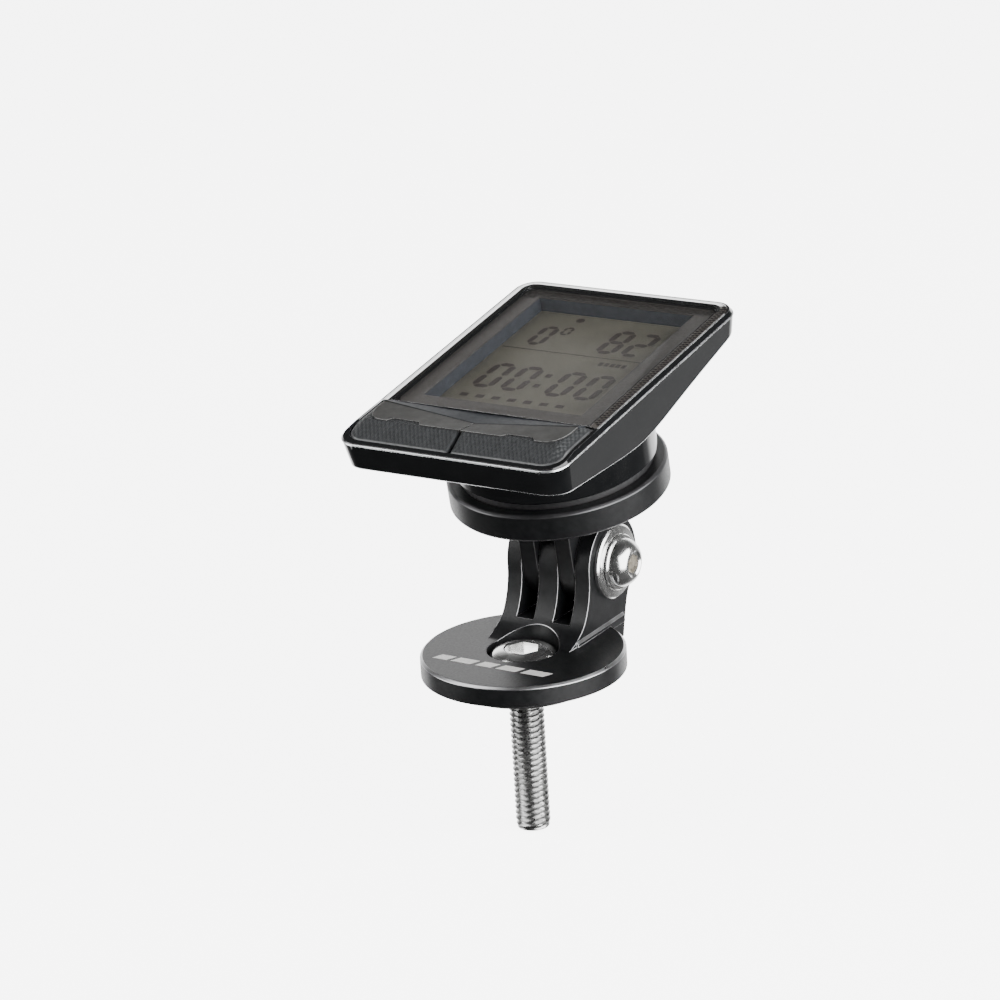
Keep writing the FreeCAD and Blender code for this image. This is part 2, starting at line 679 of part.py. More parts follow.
def key_parts():
    """One right-hand key: its textured body with the stem under it, and the smooth inlay."""
    field = key_field(KEY_LOW)
    dropped = field.copy()
    dropped.translate(V(0, 0, -PAD_DROP))
    deep = field.copy()
    deep.translate(V(0, 0, -INLAY_T))
    floor = block(0, FAR, -FAR, FAR, KEY_LOW, FAR)
    panel = panel_outline().common(key_outline(KEY_GAP))
    inlay = panel.common(field).cut(deep)
    body = dropped.common(floor).common(key_outline(PAD_GAP)).cut(panel.cut(deep))
    stem = disc(STEM_R, STEM_LOW, KEY_LOW + SKIM, KEY_X, HEAD_Y + KEY_Y)
    return fuse([body, stem]), inlay


def accent_trim():
    half = key_field(BAY_FLOOR + SEAL_T).common(accent_outline(0, 0)).common(bay_outline(0.02, 0, FAR))
    return fuse([half, mirrored(half)])


def key_seal():
    sheet = bay_outline(0.2, BAY_FLOOR, BAY_FLOOR + SEAL_T)
    return sheet.cut([disc(STEM_R + 0.3, 0, FAR, s * KEY_X, HEAD_Y + KEY_Y) for s in (-1, 1)])


def switch_body():
    y = HEAD_Y + KEY_Y
    case = block(KEY_X - 2.25, KEY_X + 2.25, y - 1.4, y + 2.4, BOARD_TOP, SWITCH_TOP)
    return case.cut(disc(PLUNGER_R + 0.1, SWITCH_FLOOR, FAR, KEY_X, y))


def switch_plunger():
    return disc(PLUNGER_R, PLUNGER_LOW, STEM_LOW, KEY_X, HEAD_Y + KEY_Y)


# ---- computer: board and battery ---------------------------------------------------------------
def circuit_board():
    y0, y1 = HEAD_Y + BOARD_Y0, HEAD_Y + BOARD_Y1
    board = rounded_block(-BOARD_X, BOARD_X, y0, y1, BOARD_CORNER, BOARD_LOW, BOARD_TOP)
    y = HEAD_Y + BOARD_SCREW_Y
    return board.cut([disc(BOARD_SCREW_R + SKIM, 0, FAR, x, y) for x in (-BOARD_SCREW_X, BOARD_SCREW_X)])


def board_screws():
    screws = []
    for x in (-BOARD_SCREW_X, BOARD_SCREW_X):
        y = HEAD_Y + BOARD_SCREW_Y
        head = disc(1.3, BOARD_LOW - 0.5, BOARD_LOW, x, y)
        shank = disc(BOARD_SCREW_R, BOARD_LOW - SKIM, BOARD_TOP, x, y)
        screws.append(fuse([head, shank]))
    return Part.makeCompound(screws)


def under_board(x, y, w, l, h):
    return block(x - w / 2, x + w / 2, HEAD_Y + y - l / 2, HEAD_Y + y + l / 2, BOARD_LOW - h, BOARD_LOW)


def board_passives():
    return Part.makeCompound([under_board(x, y, *PASSIVE) for x, y in PASSIVE_SPOTS])


def quartz_crystal():
    start = V(CRYSTAL_X, HEAD_Y + CRYSTAL_Y, BOARD_LOW - CRYSTAL_R)
    return Part.makeCylinder(CRYSTAL_R, CRYSTAL_L, start, V(0, 1, 0))


def battery():
    can = chamfered(disc(CELL_R, CELL_LOW, CELL_LOW + CELL_T), 0.3, at_level(CELL_LOW))
    step = chamfered(disc(CELL_R - 1.0, CELL_LOW + CELL_T - SKIM, CELL_LOW + CELL_T + 0.05), 0.02,
                     at_level(CELL_LOW + CELL_T + 0.05))
    return fuse([can, step])


def battery_contact_negative():
    """A leaf spring from the board down to the cell's small face."""
    top, cell = BOARD_LOW, CELL_LOW + CELL_T + 0.06
    foot = block(-1.5, 1.5, 4.6, 6.4, top - CONTACT_T, top)
    arm = prism_x([(5.0, top - CONTACT_T), (6.0, top - CONTACT_T), (1.6, cell), (-1.6, cell),
                   (-1.6, cell + CONTACT_T), (1.4, cell + CONTACT_T)], -1.0, 1.0)
    return fuse([foot, arm])


def battery_contact_positive():
    leaf = ring(WELL_R - 0.08, CELL_R + 0.05, CELL_LOW + 0.6, BOARD_LOW - 0.15)
    leaf = leaf.common(sector(FAR, 12.0, 0, FAR, -90))
    foot = block(-1.8, 1.8, -10.3, -8.6, BOARD_LOW - CONTACT_T, BOARD_LOW)
    return fuse([leaf, foot])


def battery_cover():
    """The coin-slotted cover in the ceiling of the bayonet cup."""
    plate = disc(COVER_R, CUP_TOP, COVER_TOP)
    plate = chamfered(plate, 0.2, at_level(CUP_TOP))
    slot = rounded_block(-SLOT_HALF, SLOT_HALF, -0.9, 0.9, 0.85, 0, CUP_TOP + SLOT_DEPTH)
    groove = Part.makeTorus(SEAL_MAJOR, SEAL_MINOR, V(0, 0, COVER_TOP))
    return plate.cut([slot, groove])


def cover_o_ring():
    return Part.makeTorus(SEAL_MAJOR, SEAL_MINOR, V(0, 0, COVER_TOP))


# ---- output ------------------------------------------------------------------------------------
def head_origin():
    a = math.radians(TILT)
    normal = V(0, -math.sin(a), math.cos(a))
    forward = V(0, math.cos(a), math.sin(a))
    return V(0, HINGE_Y, HINGE_Z) + normal * DOCK_ABOVE_HINGE - forward * DOCK_BEHIND_HINGE


def in_head(shape):
    """Place a shape made in the head's own frame."""
    shape.rotate(V(0, 0, 0), V(1, 0, 0), TILT)
    shape.translate(head_origin())
    return shape


def base_nodes():
    return {"stem_cap": stem_cap(), "cap_bolt": cap_bolt(), "hinge_bolt": hinge_bolt(),
            "hinge_washer": hinge_washer(), "hinge_nut": hinge_nut()}


def head_nodes():
    key, inlay = key_parts()
    switch, plunger = switch_body(), switch_plunger()
    return {
        "dock_plate": dock_plate(), "dock_insert": dock_insert(), "insert_screws": insert_screws(),
        "rear_case": rear_case(), "front_case": front_case(), "case_screws": case_screws(),
        "case_gasket": case_gasket(),
        "display_lens": display_lens(), "window_mask": window_mask(), "lcd_bezel": lcd_bezel(),
        "lcd_glass": lcd_glass(), "light_guide": light_guide(), "zebra_connector": zebra_connector(),
        "accent_trim": accent_trim(), "key_seal": key_seal(),
        "button_right": key, "button_left": mirrored(key),
        "button_inlay_right": inlay, "button_inlay_left": mirrored(inlay),
        "key_switch_right": switch, "key_switch_left": mirrored(switch),
        "switch_plunger_right": plunger, "switch_plunger_left": mirrored(plunger),
        "circuit_board": circuit_board(), "board_screws": board_screws(),
        "main_chip": under_board(*MAIN_CHIP), "radio_module": under_board(*RADIO_MODULE),
        "backlight_led": backlight_led(),
        "board_passives": board_passives(), "quartz_crystal": quartz_crystal(),
        "battery": battery(), "battery_contact_negative": battery_contact_negative(),
        "battery_contact_positive": battery_contact_positive(),
        "battery_cover": battery_cover(), "cover_o_ring": cover_o_ring(),
    }


def main():
    os.makedirs("parts", exist_ok=True)
    nodes = base_nodes()
    for name, shape in head_nodes().items():
        nodes[name] = in_head(shape)
    for name, shape in nodes.items():
        print(name, len(shape.Solids), shape.isValid(), round(shape.Volume, 2))
        shape.exportStep(os.path.join("parts", name + ".step"))


main()
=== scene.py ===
import json
import math

import bmesh
import bpy
from mathutils import Matrix, Vector

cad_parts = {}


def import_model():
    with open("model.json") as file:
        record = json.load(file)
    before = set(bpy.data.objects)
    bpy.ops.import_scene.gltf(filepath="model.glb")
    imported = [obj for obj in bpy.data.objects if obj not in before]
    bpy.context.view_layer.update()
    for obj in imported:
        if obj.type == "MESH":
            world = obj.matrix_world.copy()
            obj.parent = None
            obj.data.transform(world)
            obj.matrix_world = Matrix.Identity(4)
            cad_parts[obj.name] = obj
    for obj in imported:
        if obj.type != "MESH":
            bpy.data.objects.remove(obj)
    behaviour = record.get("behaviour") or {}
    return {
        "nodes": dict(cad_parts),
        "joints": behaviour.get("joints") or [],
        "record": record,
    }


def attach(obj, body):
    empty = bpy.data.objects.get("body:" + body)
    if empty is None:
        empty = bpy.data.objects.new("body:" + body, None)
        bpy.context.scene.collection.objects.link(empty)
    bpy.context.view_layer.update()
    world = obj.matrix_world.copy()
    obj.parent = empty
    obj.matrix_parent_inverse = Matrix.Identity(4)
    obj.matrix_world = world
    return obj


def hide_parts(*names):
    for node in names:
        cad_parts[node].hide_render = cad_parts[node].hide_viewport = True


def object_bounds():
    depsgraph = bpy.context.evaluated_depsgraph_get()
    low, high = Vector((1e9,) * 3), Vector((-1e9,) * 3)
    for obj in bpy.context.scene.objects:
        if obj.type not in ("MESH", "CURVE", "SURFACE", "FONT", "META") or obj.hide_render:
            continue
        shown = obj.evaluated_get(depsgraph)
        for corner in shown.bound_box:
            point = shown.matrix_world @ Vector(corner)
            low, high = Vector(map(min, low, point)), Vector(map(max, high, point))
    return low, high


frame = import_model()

# A cycling computer on its tilting stem-cap mount. Pieces are built in millimetres, either in the row's own
# frame or in the frame of the tilting head (x right, y forward, z out of the display), and placed in metres.

CAD_BOX = [list(corner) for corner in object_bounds()]
MM = 0.001

# ---- frames and measures, mostly from the imported model ------------------------------------------
JOINTS = {j["name"]: j for j in frame["joints"]}
NORMAL = Vector(JOINTS["quarter_turn"]["axis"]).normalized()
RIGHT = Vector((1, 0, 0))
FORWARD = NORMAL.cross(RIGHT).normalized()
HEAD_AT = Vector(JOINTS["quarter_turn"]["pos_m"])
HINGE_AT = Vector(JOINTS["dock_tilt"]["pos_m"])
ROW = Matrix.Scale(MM, 4)
HEAD = Matrix.Translation(HEAD_AT) @ Matrix((RIGHT, FORWARD, NORMAL)).transposed().to_4x4() @ ROW


def extent(node, space):
    """A node's lowest and highest corner in millimetres, along the axes of a space."""
    inverse = space.inverted()
    points = [inverse @ v.co for v in frame["nodes"][node].data.vertices]
    low = Vector([min(p[i] for p in points) for i in range(3)])
    high = Vector([max(p[i] for p in points) for i in range(3)])
    return low, high


CASE_LO, CASE_HI = extent("front_case", HEAD)
LENS_LO, LENS_HI = extent("display_lens", HEAD)
MASK_LO, MASK_HI = extent("window_mask", HEAD)
LCD_LO, LCD_HI = extent("lcd_glass", HEAD)
KEY_LO, KEY_HI = extent("button_right", HEAD)
WASHER_LO, WASHER_HI = extent("hinge_washer", ROW)

HALF_W = CASE_HI.x
HALF_L = (CASE_HI.y - CASE_LO.y) / 2
MID_Y = (CASE_HI.y + CASE_LO.y) / 2
CORNER = 3.9             # radius of the head's corners
CORNER_RATE = 0.85       # and how much less it is for each millimetre in from the edge
BORDER_OUT = 0.45        # the sloping border runs between these two distances in from the edge
BORDER_IN = 2.15
BORDER_DROP = 0.27
TOP = LENS_HI.z
SEAM = extent("rear_case", HEAD)[1].z
LENS_END = LENS_LO.y
LCD_TOP = LCD_HI.z
HINGE = HINGE_AT / MM
CAP_R = extent("stem_cap", ROW)[1].x
CAP_T = 3.5
CAP_BOLT_END = extent("cap_bolt", ROW)[0].z
HINGE_BOLT_END = extent("hinge_bolt", ROW)[0].x
FORK_HALF = WASHER_LO.x
DOCK_R = extent("dock_plate", HEAD)[1].x


# ---- mesh tools ----------------------------------------------------------------------------------
MERGE = 1e-5
CAD_MERGE = 1e-3
FAR = 60.0               # beyond the head on every side, for the shapes that cut


def lathe(profile, steps=144):
    """A shape turned about z from (radius, height) points. A profile clear of the axis closes on itself."""
    bm = bmesh.new()
    rings = []
    for r, z in profile:
        if r == 0:
            rings.append([bm.verts.new((0, 0, z))])
            continue
        turn = [2 * math.pi * i / steps for i in range(steps)]
        rings.append([bm.verts.new((r * math.cos(a), r * math.sin(a), z)) for a in turn])
    for a, b in zip(rings, rings[1:]):
        for i in range(steps):
            j = (i + 1) % steps
            corners = list(dict.fromkeys([a[i % len(a)], a[j % len(a)], b[j % len(b)], b[i % len(b)]]))
            if len(corners) > 2:
                bm.faces.new(corners)
    if len(rings[0]) > 1 and len(rings[-1]) > 1:
        for i in range(steps):
            j = (i + 1) % steps
            bm.faces.new([rings[-1][i], rings[-1][j], rings[0][j], rings[0][i]])
    bmesh.ops.recalc_face_normals(bm, faces=bm.faces)
    return bm


def join_loops(bm, loops):
    """Faces between each closed loop of points and the next."""
    for a, b in zip(loops, loops[1:]):
        for i in range(len(a)):
            j = (i + 1) % len(a)
            bm.faces.new([a[i], a[j], b[j], b[i]])


def extruded(outline, low, high):
    """A prism along z on a closed outline of (x, y) points."""
    bm = bmesh.new()
    ends = [[bm.verts.new((x, y, z)) for x, y in outline] for z in (low, high)]
    for end in ends:
        bm.faces.new(end)
    for i in range(len(outline)):
        j = (i + 1) % len(outline)
        bm.faces.new([ends[0][i], ends[0][j], ends[1][j], ends[1][i]])
    bmesh.ops.recalc_face_normals(bm, faces=bm.faces)
    return bm


def arc(cx, cy, r, start, end, steps):
    angles = [math.radians(start + (end - start) * i / steps) for i in range(steps + 1)]
    return [(cx + r * math.cos(a), cy + r * math.sin(a)) for a in angles]


def box_outline(x0, x1, y0, y1):
    return [(x0, y0), (x1, y0), (x1, y1), (x0, y1)]


def rounded_rect(hx, hy, r, cy, steps=10):
    """A rounded rectangle about (0, cy), anticlockwise from its right side."""
    centres = [(hx - r, hy - r, 0), (r - hx, hy - r, 90), (r - hx, r - hy, 180), (hx - r, r - hy, 270)]
    return [point for x, y, start in centres for point in arc(x, cy + y, r, start, start + 90, steps)]


def to_mesh(bm, name):
    mesh = bpy.data.meshes.new(name)
    bm.to_mesh(mesh)
    bm.free()
    return mesh


def combined(base, tools, operation):
    """base joined with, cut by or kept inside the tools, with exact booleans."""
    obj = bpy.data.objects.new("base", to_mesh(base, "base"))
    bpy.context.scene.collection.objects.link(obj)
    helpers = []
    for tool in tools:
        helper = bpy.data.objects.new("tool", to_mesh(tool, "tool"))
        bpy.context.scene.collection.objects.link(helper)
        modifier = obj.modifiers.new("cut", "BOOLEAN")
        modifier.operation = operation
        modifier.solver = "EXACT"
        modifier.object = helper
        helpers.append(helper)
    depsgraph = bpy.context.evaluated_depsgraph_get()
    result = bmesh.new()
    result.from_object(obj, depsgraph)
    for item in [obj] + helpers:
        mesh = item.data
        bpy.data.objects.remove(item)
        bpy.data.meshes.remove(mesh)
    bmesh.ops.remove_doubles(result, verts=result.verts, dist=MERGE)
    bmesh.ops.dissolve_degenerate(result, edges=result.edges, dist=MERGE)
    return result


def cut(base, *tools):
    return combined(base, tools, "DIFFERENCE")


def inside(base, *tools):
    return combined(base, tools, "INTERSECT")


def moved(bm, matrix):
    bmesh.ops.transform(bm, matrix=matrix, verts=bm.verts)
    return bm


def merged(meshes):
    """Separate solids kept in one mesh."""
    whole = bmesh.new()
    for bm in meshes:
        mesh = to_mesh(bm, "part")
        whole.from_mesh(mesh)
        bpy.data.meshes.remove(mesh)
    return whole


def copy_of(node, space, flat=math.radians(0.6)):
    """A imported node's own shape in millimetres, with its flat faces made whole."""
    bm = bmesh.new()
    bm.from_mesh(frame["nodes"][node].data)
    bmesh.ops.transform(bm, matrix=space.inverted(), verts=bm.verts)
    bmesh.ops.remove_doubles(bm, verts=bm.verts, dist=CAD_MERGE)
    bmesh.ops.dissolve_limit(bm, angle_limit=flat, verts=bm.verts, edges=bm.edges)
    return bm


def paint(bm, material, test):
    """Gives a material's number to the faces whose centre and normal pass a test."""
    bm.normal_update()
    for face in bm.faces:
        if test(face.calc_center_median(), face.normal):
            face.material_index = material


def is_chamfer(slope):
    """Whether a component of a normal is that of a face at about 45 degrees."""
    return 0.6 < slope < 0.8


def threaded(r, pitch, depth, low, high, steps=40, rows_a_turn=8):
    """A solid threaded rod about z, with a real helix that fades out at both ends."""
    bm = bmesh.new()
    rows = []
    count = int((high - low) / pitch * rows_a_turn)
    for k in range(count + 1):
        z = low + (high - low) * k / count
        ease = min(1.0, (z - low) / pitch, (high - z) / pitch)
        row = []
        for i in range(steps):
            phase = (z / pitch - i / steps) % 1.0
            groove = depth * (1 - abs(2 * phase - 1)) * ease + 0.5 * depth * (1 - ease)
            a = 2 * math.pi * i / steps
            row.append(bm.verts.new(((r - groove) * math.cos(a), (r - groove) * math.sin(a), z)))
        rows.append(row)
    join_loops(bm, rows)
    bm.faces.new(rows[0])
    bm.faces.new(rows[-1])
    bmesh.ops.recalc_face_normals(bm, faces=bm.faces)
    return bm


def hexagon(across_flats):
    """Six corners, the first on the x axis."""
    return arc(0, 0, across_flats / math.sqrt(3), 0, 300, 5)


def piece(name, bm, space, body, materials, replaces=(), bevel=0.0, angle=28, segments=2, edge_slot=0,
          chosen=None):
    """Places a finished mesh in the model: metres, smooth shading, rounded edges, body, slot and the nodes it
    stands for. Edges sharper than the angle are rounded and take the edge slot's material. Where chosen is
    given, only those whose middle passes that test are."""
    if chosen:
        weight = bm.edges.layers.float.new("bevel_weight_edge")
        for edge in bm.edges:
            sharp = edge.calc_face_angle(0.0) > math.radians(angle)
            edge[weight] = float(sharp and chosen((edge.verts[0].co + edge.verts[1].co) / 2))
    bmesh.ops.transform(bm, matrix=space, verts=bm.verts)
    mesh = to_mesh(bm, name)
    for material in materials:
        mesh.materials.append(material)
    obj = bpy.data.objects.new(name, mesh)
    bpy.context.scene.collection.objects.link(obj)
    for polygon in mesh.polygons:
        polygon.use_smooth = True
    mesh.set_sharp_from_angle(angle=math.radians(angle))
    if bevel:
        modifier = obj.modifiers.new("edges", "BEVEL")
        modifier.width = bevel * MM
        modifier.segments = segments
        modifier.limit_method = "WEIGHT" if chosen else "ANGLE"
        modifier.angle_limit = math.radians(angle)
        modifier.material = edge_slot
        modifier.use_clamp_overlap = not chosen
        shading = obj.modifiers.new("shading", "WEIGHTED_NORMAL")
        shading.weight = 50 if chosen else 100
        shading.keep_sharp = True
    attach(obj, body)
    if replaces:
        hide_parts(*replaces)
    return obj


# ---- materials -----------------------------------------------------------------------------------
PATTERN_LOW = 0.3
PATTERN_HIGH = 0.7


class Finish:
    """A Principled material built up from procedural layers in the piece's own coordinates."""

    def __init__(self, name, **sockets):
        self.material = bpy.data.materials.new(name)
        self.material.use_nodes = True
        self.nodes = self.material.node_tree.nodes
        self.links = self.material.node_tree.links
        self.shader = self.nodes["Principled BSDF"]
        for socket, value in sockets.items():
            self.shader.inputs[socket.replace("_", " ")].default_value = value
        self.coords = self.nodes.new("ShaderNodeTexCoord").outputs["Object"]
        self.bump_from = None

    def noise(self, scale, detail=3.0, rough=0.5):
        node = self.nodes.new("ShaderNodeTexNoise")
        node.inputs["Scale"].default_value = scale
        node.inputs["Detail"].default_value = detail
        node.inputs["Roughness"].default_value = rough
        self.links.new(self.coords, node.inputs["Vector"])
        return node.outputs["Fac"]

    def cell_edges(self, scale, stretch):
        """The distance to the nearest edge between cells, which are drawn out along the axes."""
        mapping = self.nodes.new("ShaderNodeMapping")
        mapping.inputs["Scale"].default_value = stretch
        self.links.new(self.coords, mapping.inputs["Vector"])
        node = self.nodes.new("ShaderNodeTexVoronoi")
        node.feature = "DISTANCE_TO_EDGE"
        node.inputs["Scale"].default_value = scale
        self.links.new(mapping.outputs["Vector"], node.inputs["Vector"])
        return node.outputs["Distance"]

    def colour(self, value, *stops):
        """Base colour from a pattern, by (place, colour) stops."""
        node = self.nodes.new("ShaderNodeValToRGB")
        for element, (position, colour) in zip(node.color_ramp.elements, stops):
            element.position = position
            element.color = (*colour, 1.0)
        self.links.new(value, node.inputs["Fac"])
        self.links.new(node.outputs["Color"], self.shader.inputs["Base Color"])

    def roughness(self, value, low, high):
        """Roughness from low to high over the middle of a pattern's range."""
        node = self.nodes.new("ShaderNodeMapRange")
        node.inputs["From Min"].default_value = PATTERN_LOW
        node.inputs["From Max"].default_value = PATTERN_HIGH
        node.inputs["To Min"].default_value = low
        node.inputs["To Max"].default_value = high
        self.links.new(value, node.inputs["Value"])
        self.links.new(node.outputs["Result"], self.shader.inputs["Roughness"])

    def bump(self, value, strength, distance):
        node = self.nodes.new("ShaderNodeBump")
        node.inputs["Strength"].default_value = strength
        node.inputs["Distance"].default_value = distance
        self.links.new(value, node.inputs["Height"])
        if self.bump_from:
            self.links.new(self.bump_from, node.inputs["Normal"])
        self.bump_from = node.outputs["Normal"]
        self.links.new(self.bump_from, self.shader.inputs["Normal"])


def anodised_black():
    f = Finish("anodised_black", Specular_IOR_Level=0.36)
    f.colour(f.noise(700, 5, 0.6), (0.3, (0.0045, 0.0047, 0.0052)), (0.7, (0.0105, 0.0108, 0.0116)))
    f.roughness(f.noise(2600, 4, 0.6), 0.30, 0.44)
    f.bump(f.noise(9000, 2), 0.35, 0.00001)
    f.bump(f.noise(1800, 3), 0.15, 0.00002)
    return f.material


def cut_edge_and_highlight():
    """The bright chamfers that a cutter leaves on anodised parts, partly a painted highlight: bright enough
    to show in any light.
    """
    f = Finish("cut_edge_and_highlight", Metallic=1.0)
    f.colour(f.noise(120, 3), (0.35, (0.38, 0.38, 0.39)), (0.65, (0.52, 0.52, 0.53)))
    f.roughness(f.noise(300, 3), 0.26, 0.38)
    return f.material


def dim_edge_highlight():
    """The dock's chamfers and rounded edges in a dim grey: a painted highlight."""
    f = Finish("dim_edge_highlight", Metallic=0.8)
    f.colour(f.noise(150, 3), (0.35, (0.075, 0.075, 0.078)), (0.65, (0.125, 0.125, 0.128)))
    f.roughness(f.noise(300, 3), 0.30, 0.42)
    return f.material


def bright_steel():
    f = Finish("bright_steel", Metallic=0.97)
    f.colour(f.noise(600, 4, 0.6), (0.3, (0.82, 0.82, 0.81)), (0.7, (0.94, 0.94, 0.93)))
    f.roughness(f.noise(1400, 4, 0.6), 0.12, 0.24)
    f.bump(f.noise(5000, 3), 0.12, 0.000008)
    return f.material


def threaded_steel():
    f = Finish("threaded_steel", Metallic=1.0)
    f.colour(f.noise(900, 4, 0.6), (0.3, (0.36, 0.36, 0.36)), (0.7, (0.56, 0.56, 0.55)))
    f.roughness(f.noise(2000, 4, 0.6), 0.22, 0.38)
    f.bump(f.noise(7000, 3), 0.2, 0.000008)
    return f.material


def gloss_black():
    f = Finish("gloss_black", Specular_IOR_Level=0.6, Coat_Weight=0.4, Coat_Roughness=0.03)
    f.colour(f.noise(260, 3), (0.3, (0.0055, 0.006, 0.0065)), (0.7, (0.0085, 0.009, 0.0095)))
    f.roughness(f.noise(900, 6, 0.7), 0.07, 0.14)
    f.bump(f.noise(320, 2), 0.10, 0.00003)
    return f.material


def painted_gloss_highlight():
    """A lighter grey on the rounded edges of the gloss shells: a painted highlight."""
    f = Finish("painted_gloss_highlight", Specular_IOR_Level=0.9, Coat_Weight=1.0, Coat_Roughness=0.05)
    f.colour(f.noise(1500, 3), (0.35, (0.10, 0.10, 0.105)), (0.65, (0.16, 0.16, 0.165)))
    f.roughness(f.noise(2400, 3), 0.15, 0.25)
    return f.material


def dock_plastic():
    f = Finish("dock_plastic", Specular_IOR_Level=0.45)
    f.colour(f.noise(1200, 5, 0.7), (0.3, (0.010, 0.010, 0.0105)), (0.7, (0.020, 0.020, 0.021)))
    f.roughness(f.noise(2200, 4), 0.42, 0.58)
    f.bump(f.noise(6500, 3), 0.4, 0.00001)
    return f.material


def clear_lens():
    """A clear cover: all but a few percent see-through, and a mirror for the rest."""
    f = Finish("clear_lens", Metallic=1.0, Alpha=0.032)
    f.colour(f.noise(150, 2), (0.3, (0.86, 0.87, 0.88)), (0.7, (0.94, 0.95, 0.95)))
    f.roughness(f.noise(700, 5, 0.7), 0.02, 0.06)
    return f.material


def clear_border():
    """The polished slope round the window, which mirrors the studio."""
    f = Finish("clear_border", Metallic=1.0)
    f.colour(f.noise(300, 3), (0.3, (0.62, 0.62, 0.62)), (0.7, (0.74, 0.74, 0.74)))
    f.roughness(f.noise(900, 4), 0.05, 0.10)
    return f.material


def painted_edge_glint():
    """A bright metallic finish that paints a highlight line: on the lens's right-hand edge, the seam and the
    rear shell's outer edges.
    """
    f = Finish("painted_edge_glint", Metallic=0.9)
    f.colour(f.noise(200, 3), (0.3, (0.74, 0.75, 0.76)), (0.7, (0.86, 0.87, 0.88)))
    f.roughness(f.noise(500, 3), 0.22, 0.34)
    return f.material


def pale_print():
    f = Finish("pale_print", Specular_IOR_Level=0.4)
    f.colour(f.noise(2500, 4, 0.7), (0.3, (0.60, 0.59, 0.57)), (0.7, (0.80, 0.79, 0.77)))
    f.roughness(f.noise(3000, 3), 0.35, 0.5)
    return f.material


def rib_ground_painted_light():
    """The border's right side, seen through the clear edge of the lens: a brown print, painted lighter than
    the mask print to make up for the shade on this side.
    """
    f = Finish("rib_ground_painted_light", Specular_IOR_Level=0.3)
    f.colour(f.noise(1600, 4, 0.6), (0.3, (0.060, 0.054, 0.049)), (0.7, (0.082, 0.074, 0.067)))
    f.roughness(f.noise(2500, 3), 0.35, 0.5)
    return f.material


# Black print on the mask and border, and the dark strip that paints the shadow in the groove beside the
# accent.
def black_print_and_shadow():
    f = Finish("black_print_and_shadow", Specular_IOR_Level=0.12)
    f.colour(f.noise(2000, 4), (0.3, (0.003, 0.003, 0.003)), (0.7, (0.007, 0.007, 0.007)))
    f.roughness(f.noise(3000, 3), 0.5, 0.65)
    return f.material


def socket_steel():
    """The hinge bolt's recess, warm with a trace of old grease."""
    f = Finish("socket_steel", Metallic=0.9)
    f.colour(f.noise(900, 4, 0.6), (0.3, (0.48, 0.43, 0.35)), (0.7, (0.66, 0.60, 0.50)))
    f.roughness(f.noise(1800, 4), 0.25, 0.4)
    return f.material


def pad_edge_highlight():
    """The smooth moulded edge of a key, in a lighter grey than the pad: a painted highlight."""
    f = Finish("pad_edge_highlight", Specular_IOR_Level=0.6)
    f.colour(f.noise(900, 4), (0.3, (0.07, 0.072, 0.075)), (0.7, (0.11, 0.112, 0.115)))
    f.roughness(f.noise(2500, 4), 0.28, 0.4)
    return f.material


def mask_print():
    f = Finish("mask_print", Specular_IOR_Level=0.4)
    f.colour(f.noise(1600, 4, 0.6), (0.3, (0.033, 0.029, 0.026)), (0.7, (0.046, 0.041, 0.037)))
    f.roughness(f.noise(2500, 3), 0.38, 0.5)
    return f.material


def bezel_blue_grey():
    f = Finish("bezel_blue_grey", Specular_IOR_Level=0.4)
    f.colour(f.noise(1200, 4), (0.3, (0.024, 0.028, 0.036)), (0.7, (0.035, 0.040, 0.050)))
    f.roughness(f.noise(2500, 3), 0.40, 0.52)
    f.bump(f.noise(7000, 3), 0.3, 0.000008)
    return f.material


def lcd_field():
    f = Finish("lcd_field", Specular_IOR_Level=0.3)
    f.colour(f.noise(170, 4, 0.6), (0.3, (0.092, 0.086, 0.067)), (0.7, (0.114, 0.107, 0.084)))
    f.roughness(f.noise(5000, 2), 0.42, 0.55)
    f.bump(f.noise(9000, 2), 0.15, 0.000005)
    return f.material


def lcd_ink():
    f = Finish("lcd_ink", Specular_IOR_Level=0.3)
    f.colour(f.noise(1500, 3), (0.3, (0.022, 0.015, 0.012)), (0.7, (0.031, 0.021, 0.018)))
    f.roughness(f.noise(3000, 2), 0.4, 0.5)
    return f.material


def accent_satin():
    f = Finish("accent_satin", Specular_IOR_Level=0.05)
    f.colour(f.noise(500, 4), (0.3, (0.029, 0.032, 0.036)), (0.7, (0.043, 0.047, 0.052)))
    f.roughness(f.noise(1800, 4), 0.40, 0.50)
    f.bump(f.noise(9000, 2), 0.15, 0.000004)
    return f.material


def key_pad_plastic():
    f = Finish("key_pad_plastic", Specular_IOR_Level=0.45)
    f.colour(f.noise(900, 5, 0.6), (0.3, (0.028, 0.030, 0.031)), (0.7, (0.044, 0.047, 0.049)))
    f.roughness(f.noise(2500, 4), 0.42, 0.56)
    f.bump(f.noise(8000, 3), 0.25, 0.000008)
    return f.material


def key_panel_satin():
    f = Finish("key_panel_satin", Specular_IOR_Level=0.03)
    f.colour(f.noise(420, 5, 0.6), (0.3, (0.050, 0.050, 0.048)), (0.7, (0.074, 0.074, 0.071)))
    f.roughness(f.noise(1900, 4), 0.42, 0.52)
    f.bump(f.noise(8000, 3), 0.2, 0.000006)
    return f.material


# The key panels' rounded edges in a lighter metallic grey: a painted highlight.
def panel_edge_highlight():
    f = Finish("panel_edge_highlight", Metallic=0.6, Specular_IOR_Level=0.6)
    f.colour(f.noise(1500, 3), (0.35, (0.24, 0.24, 0.24)), (0.65, (0.32, 0.32, 0.32)))
    f.roughness(f.noise(2600, 3), 0.22, 0.34)
    return f.material


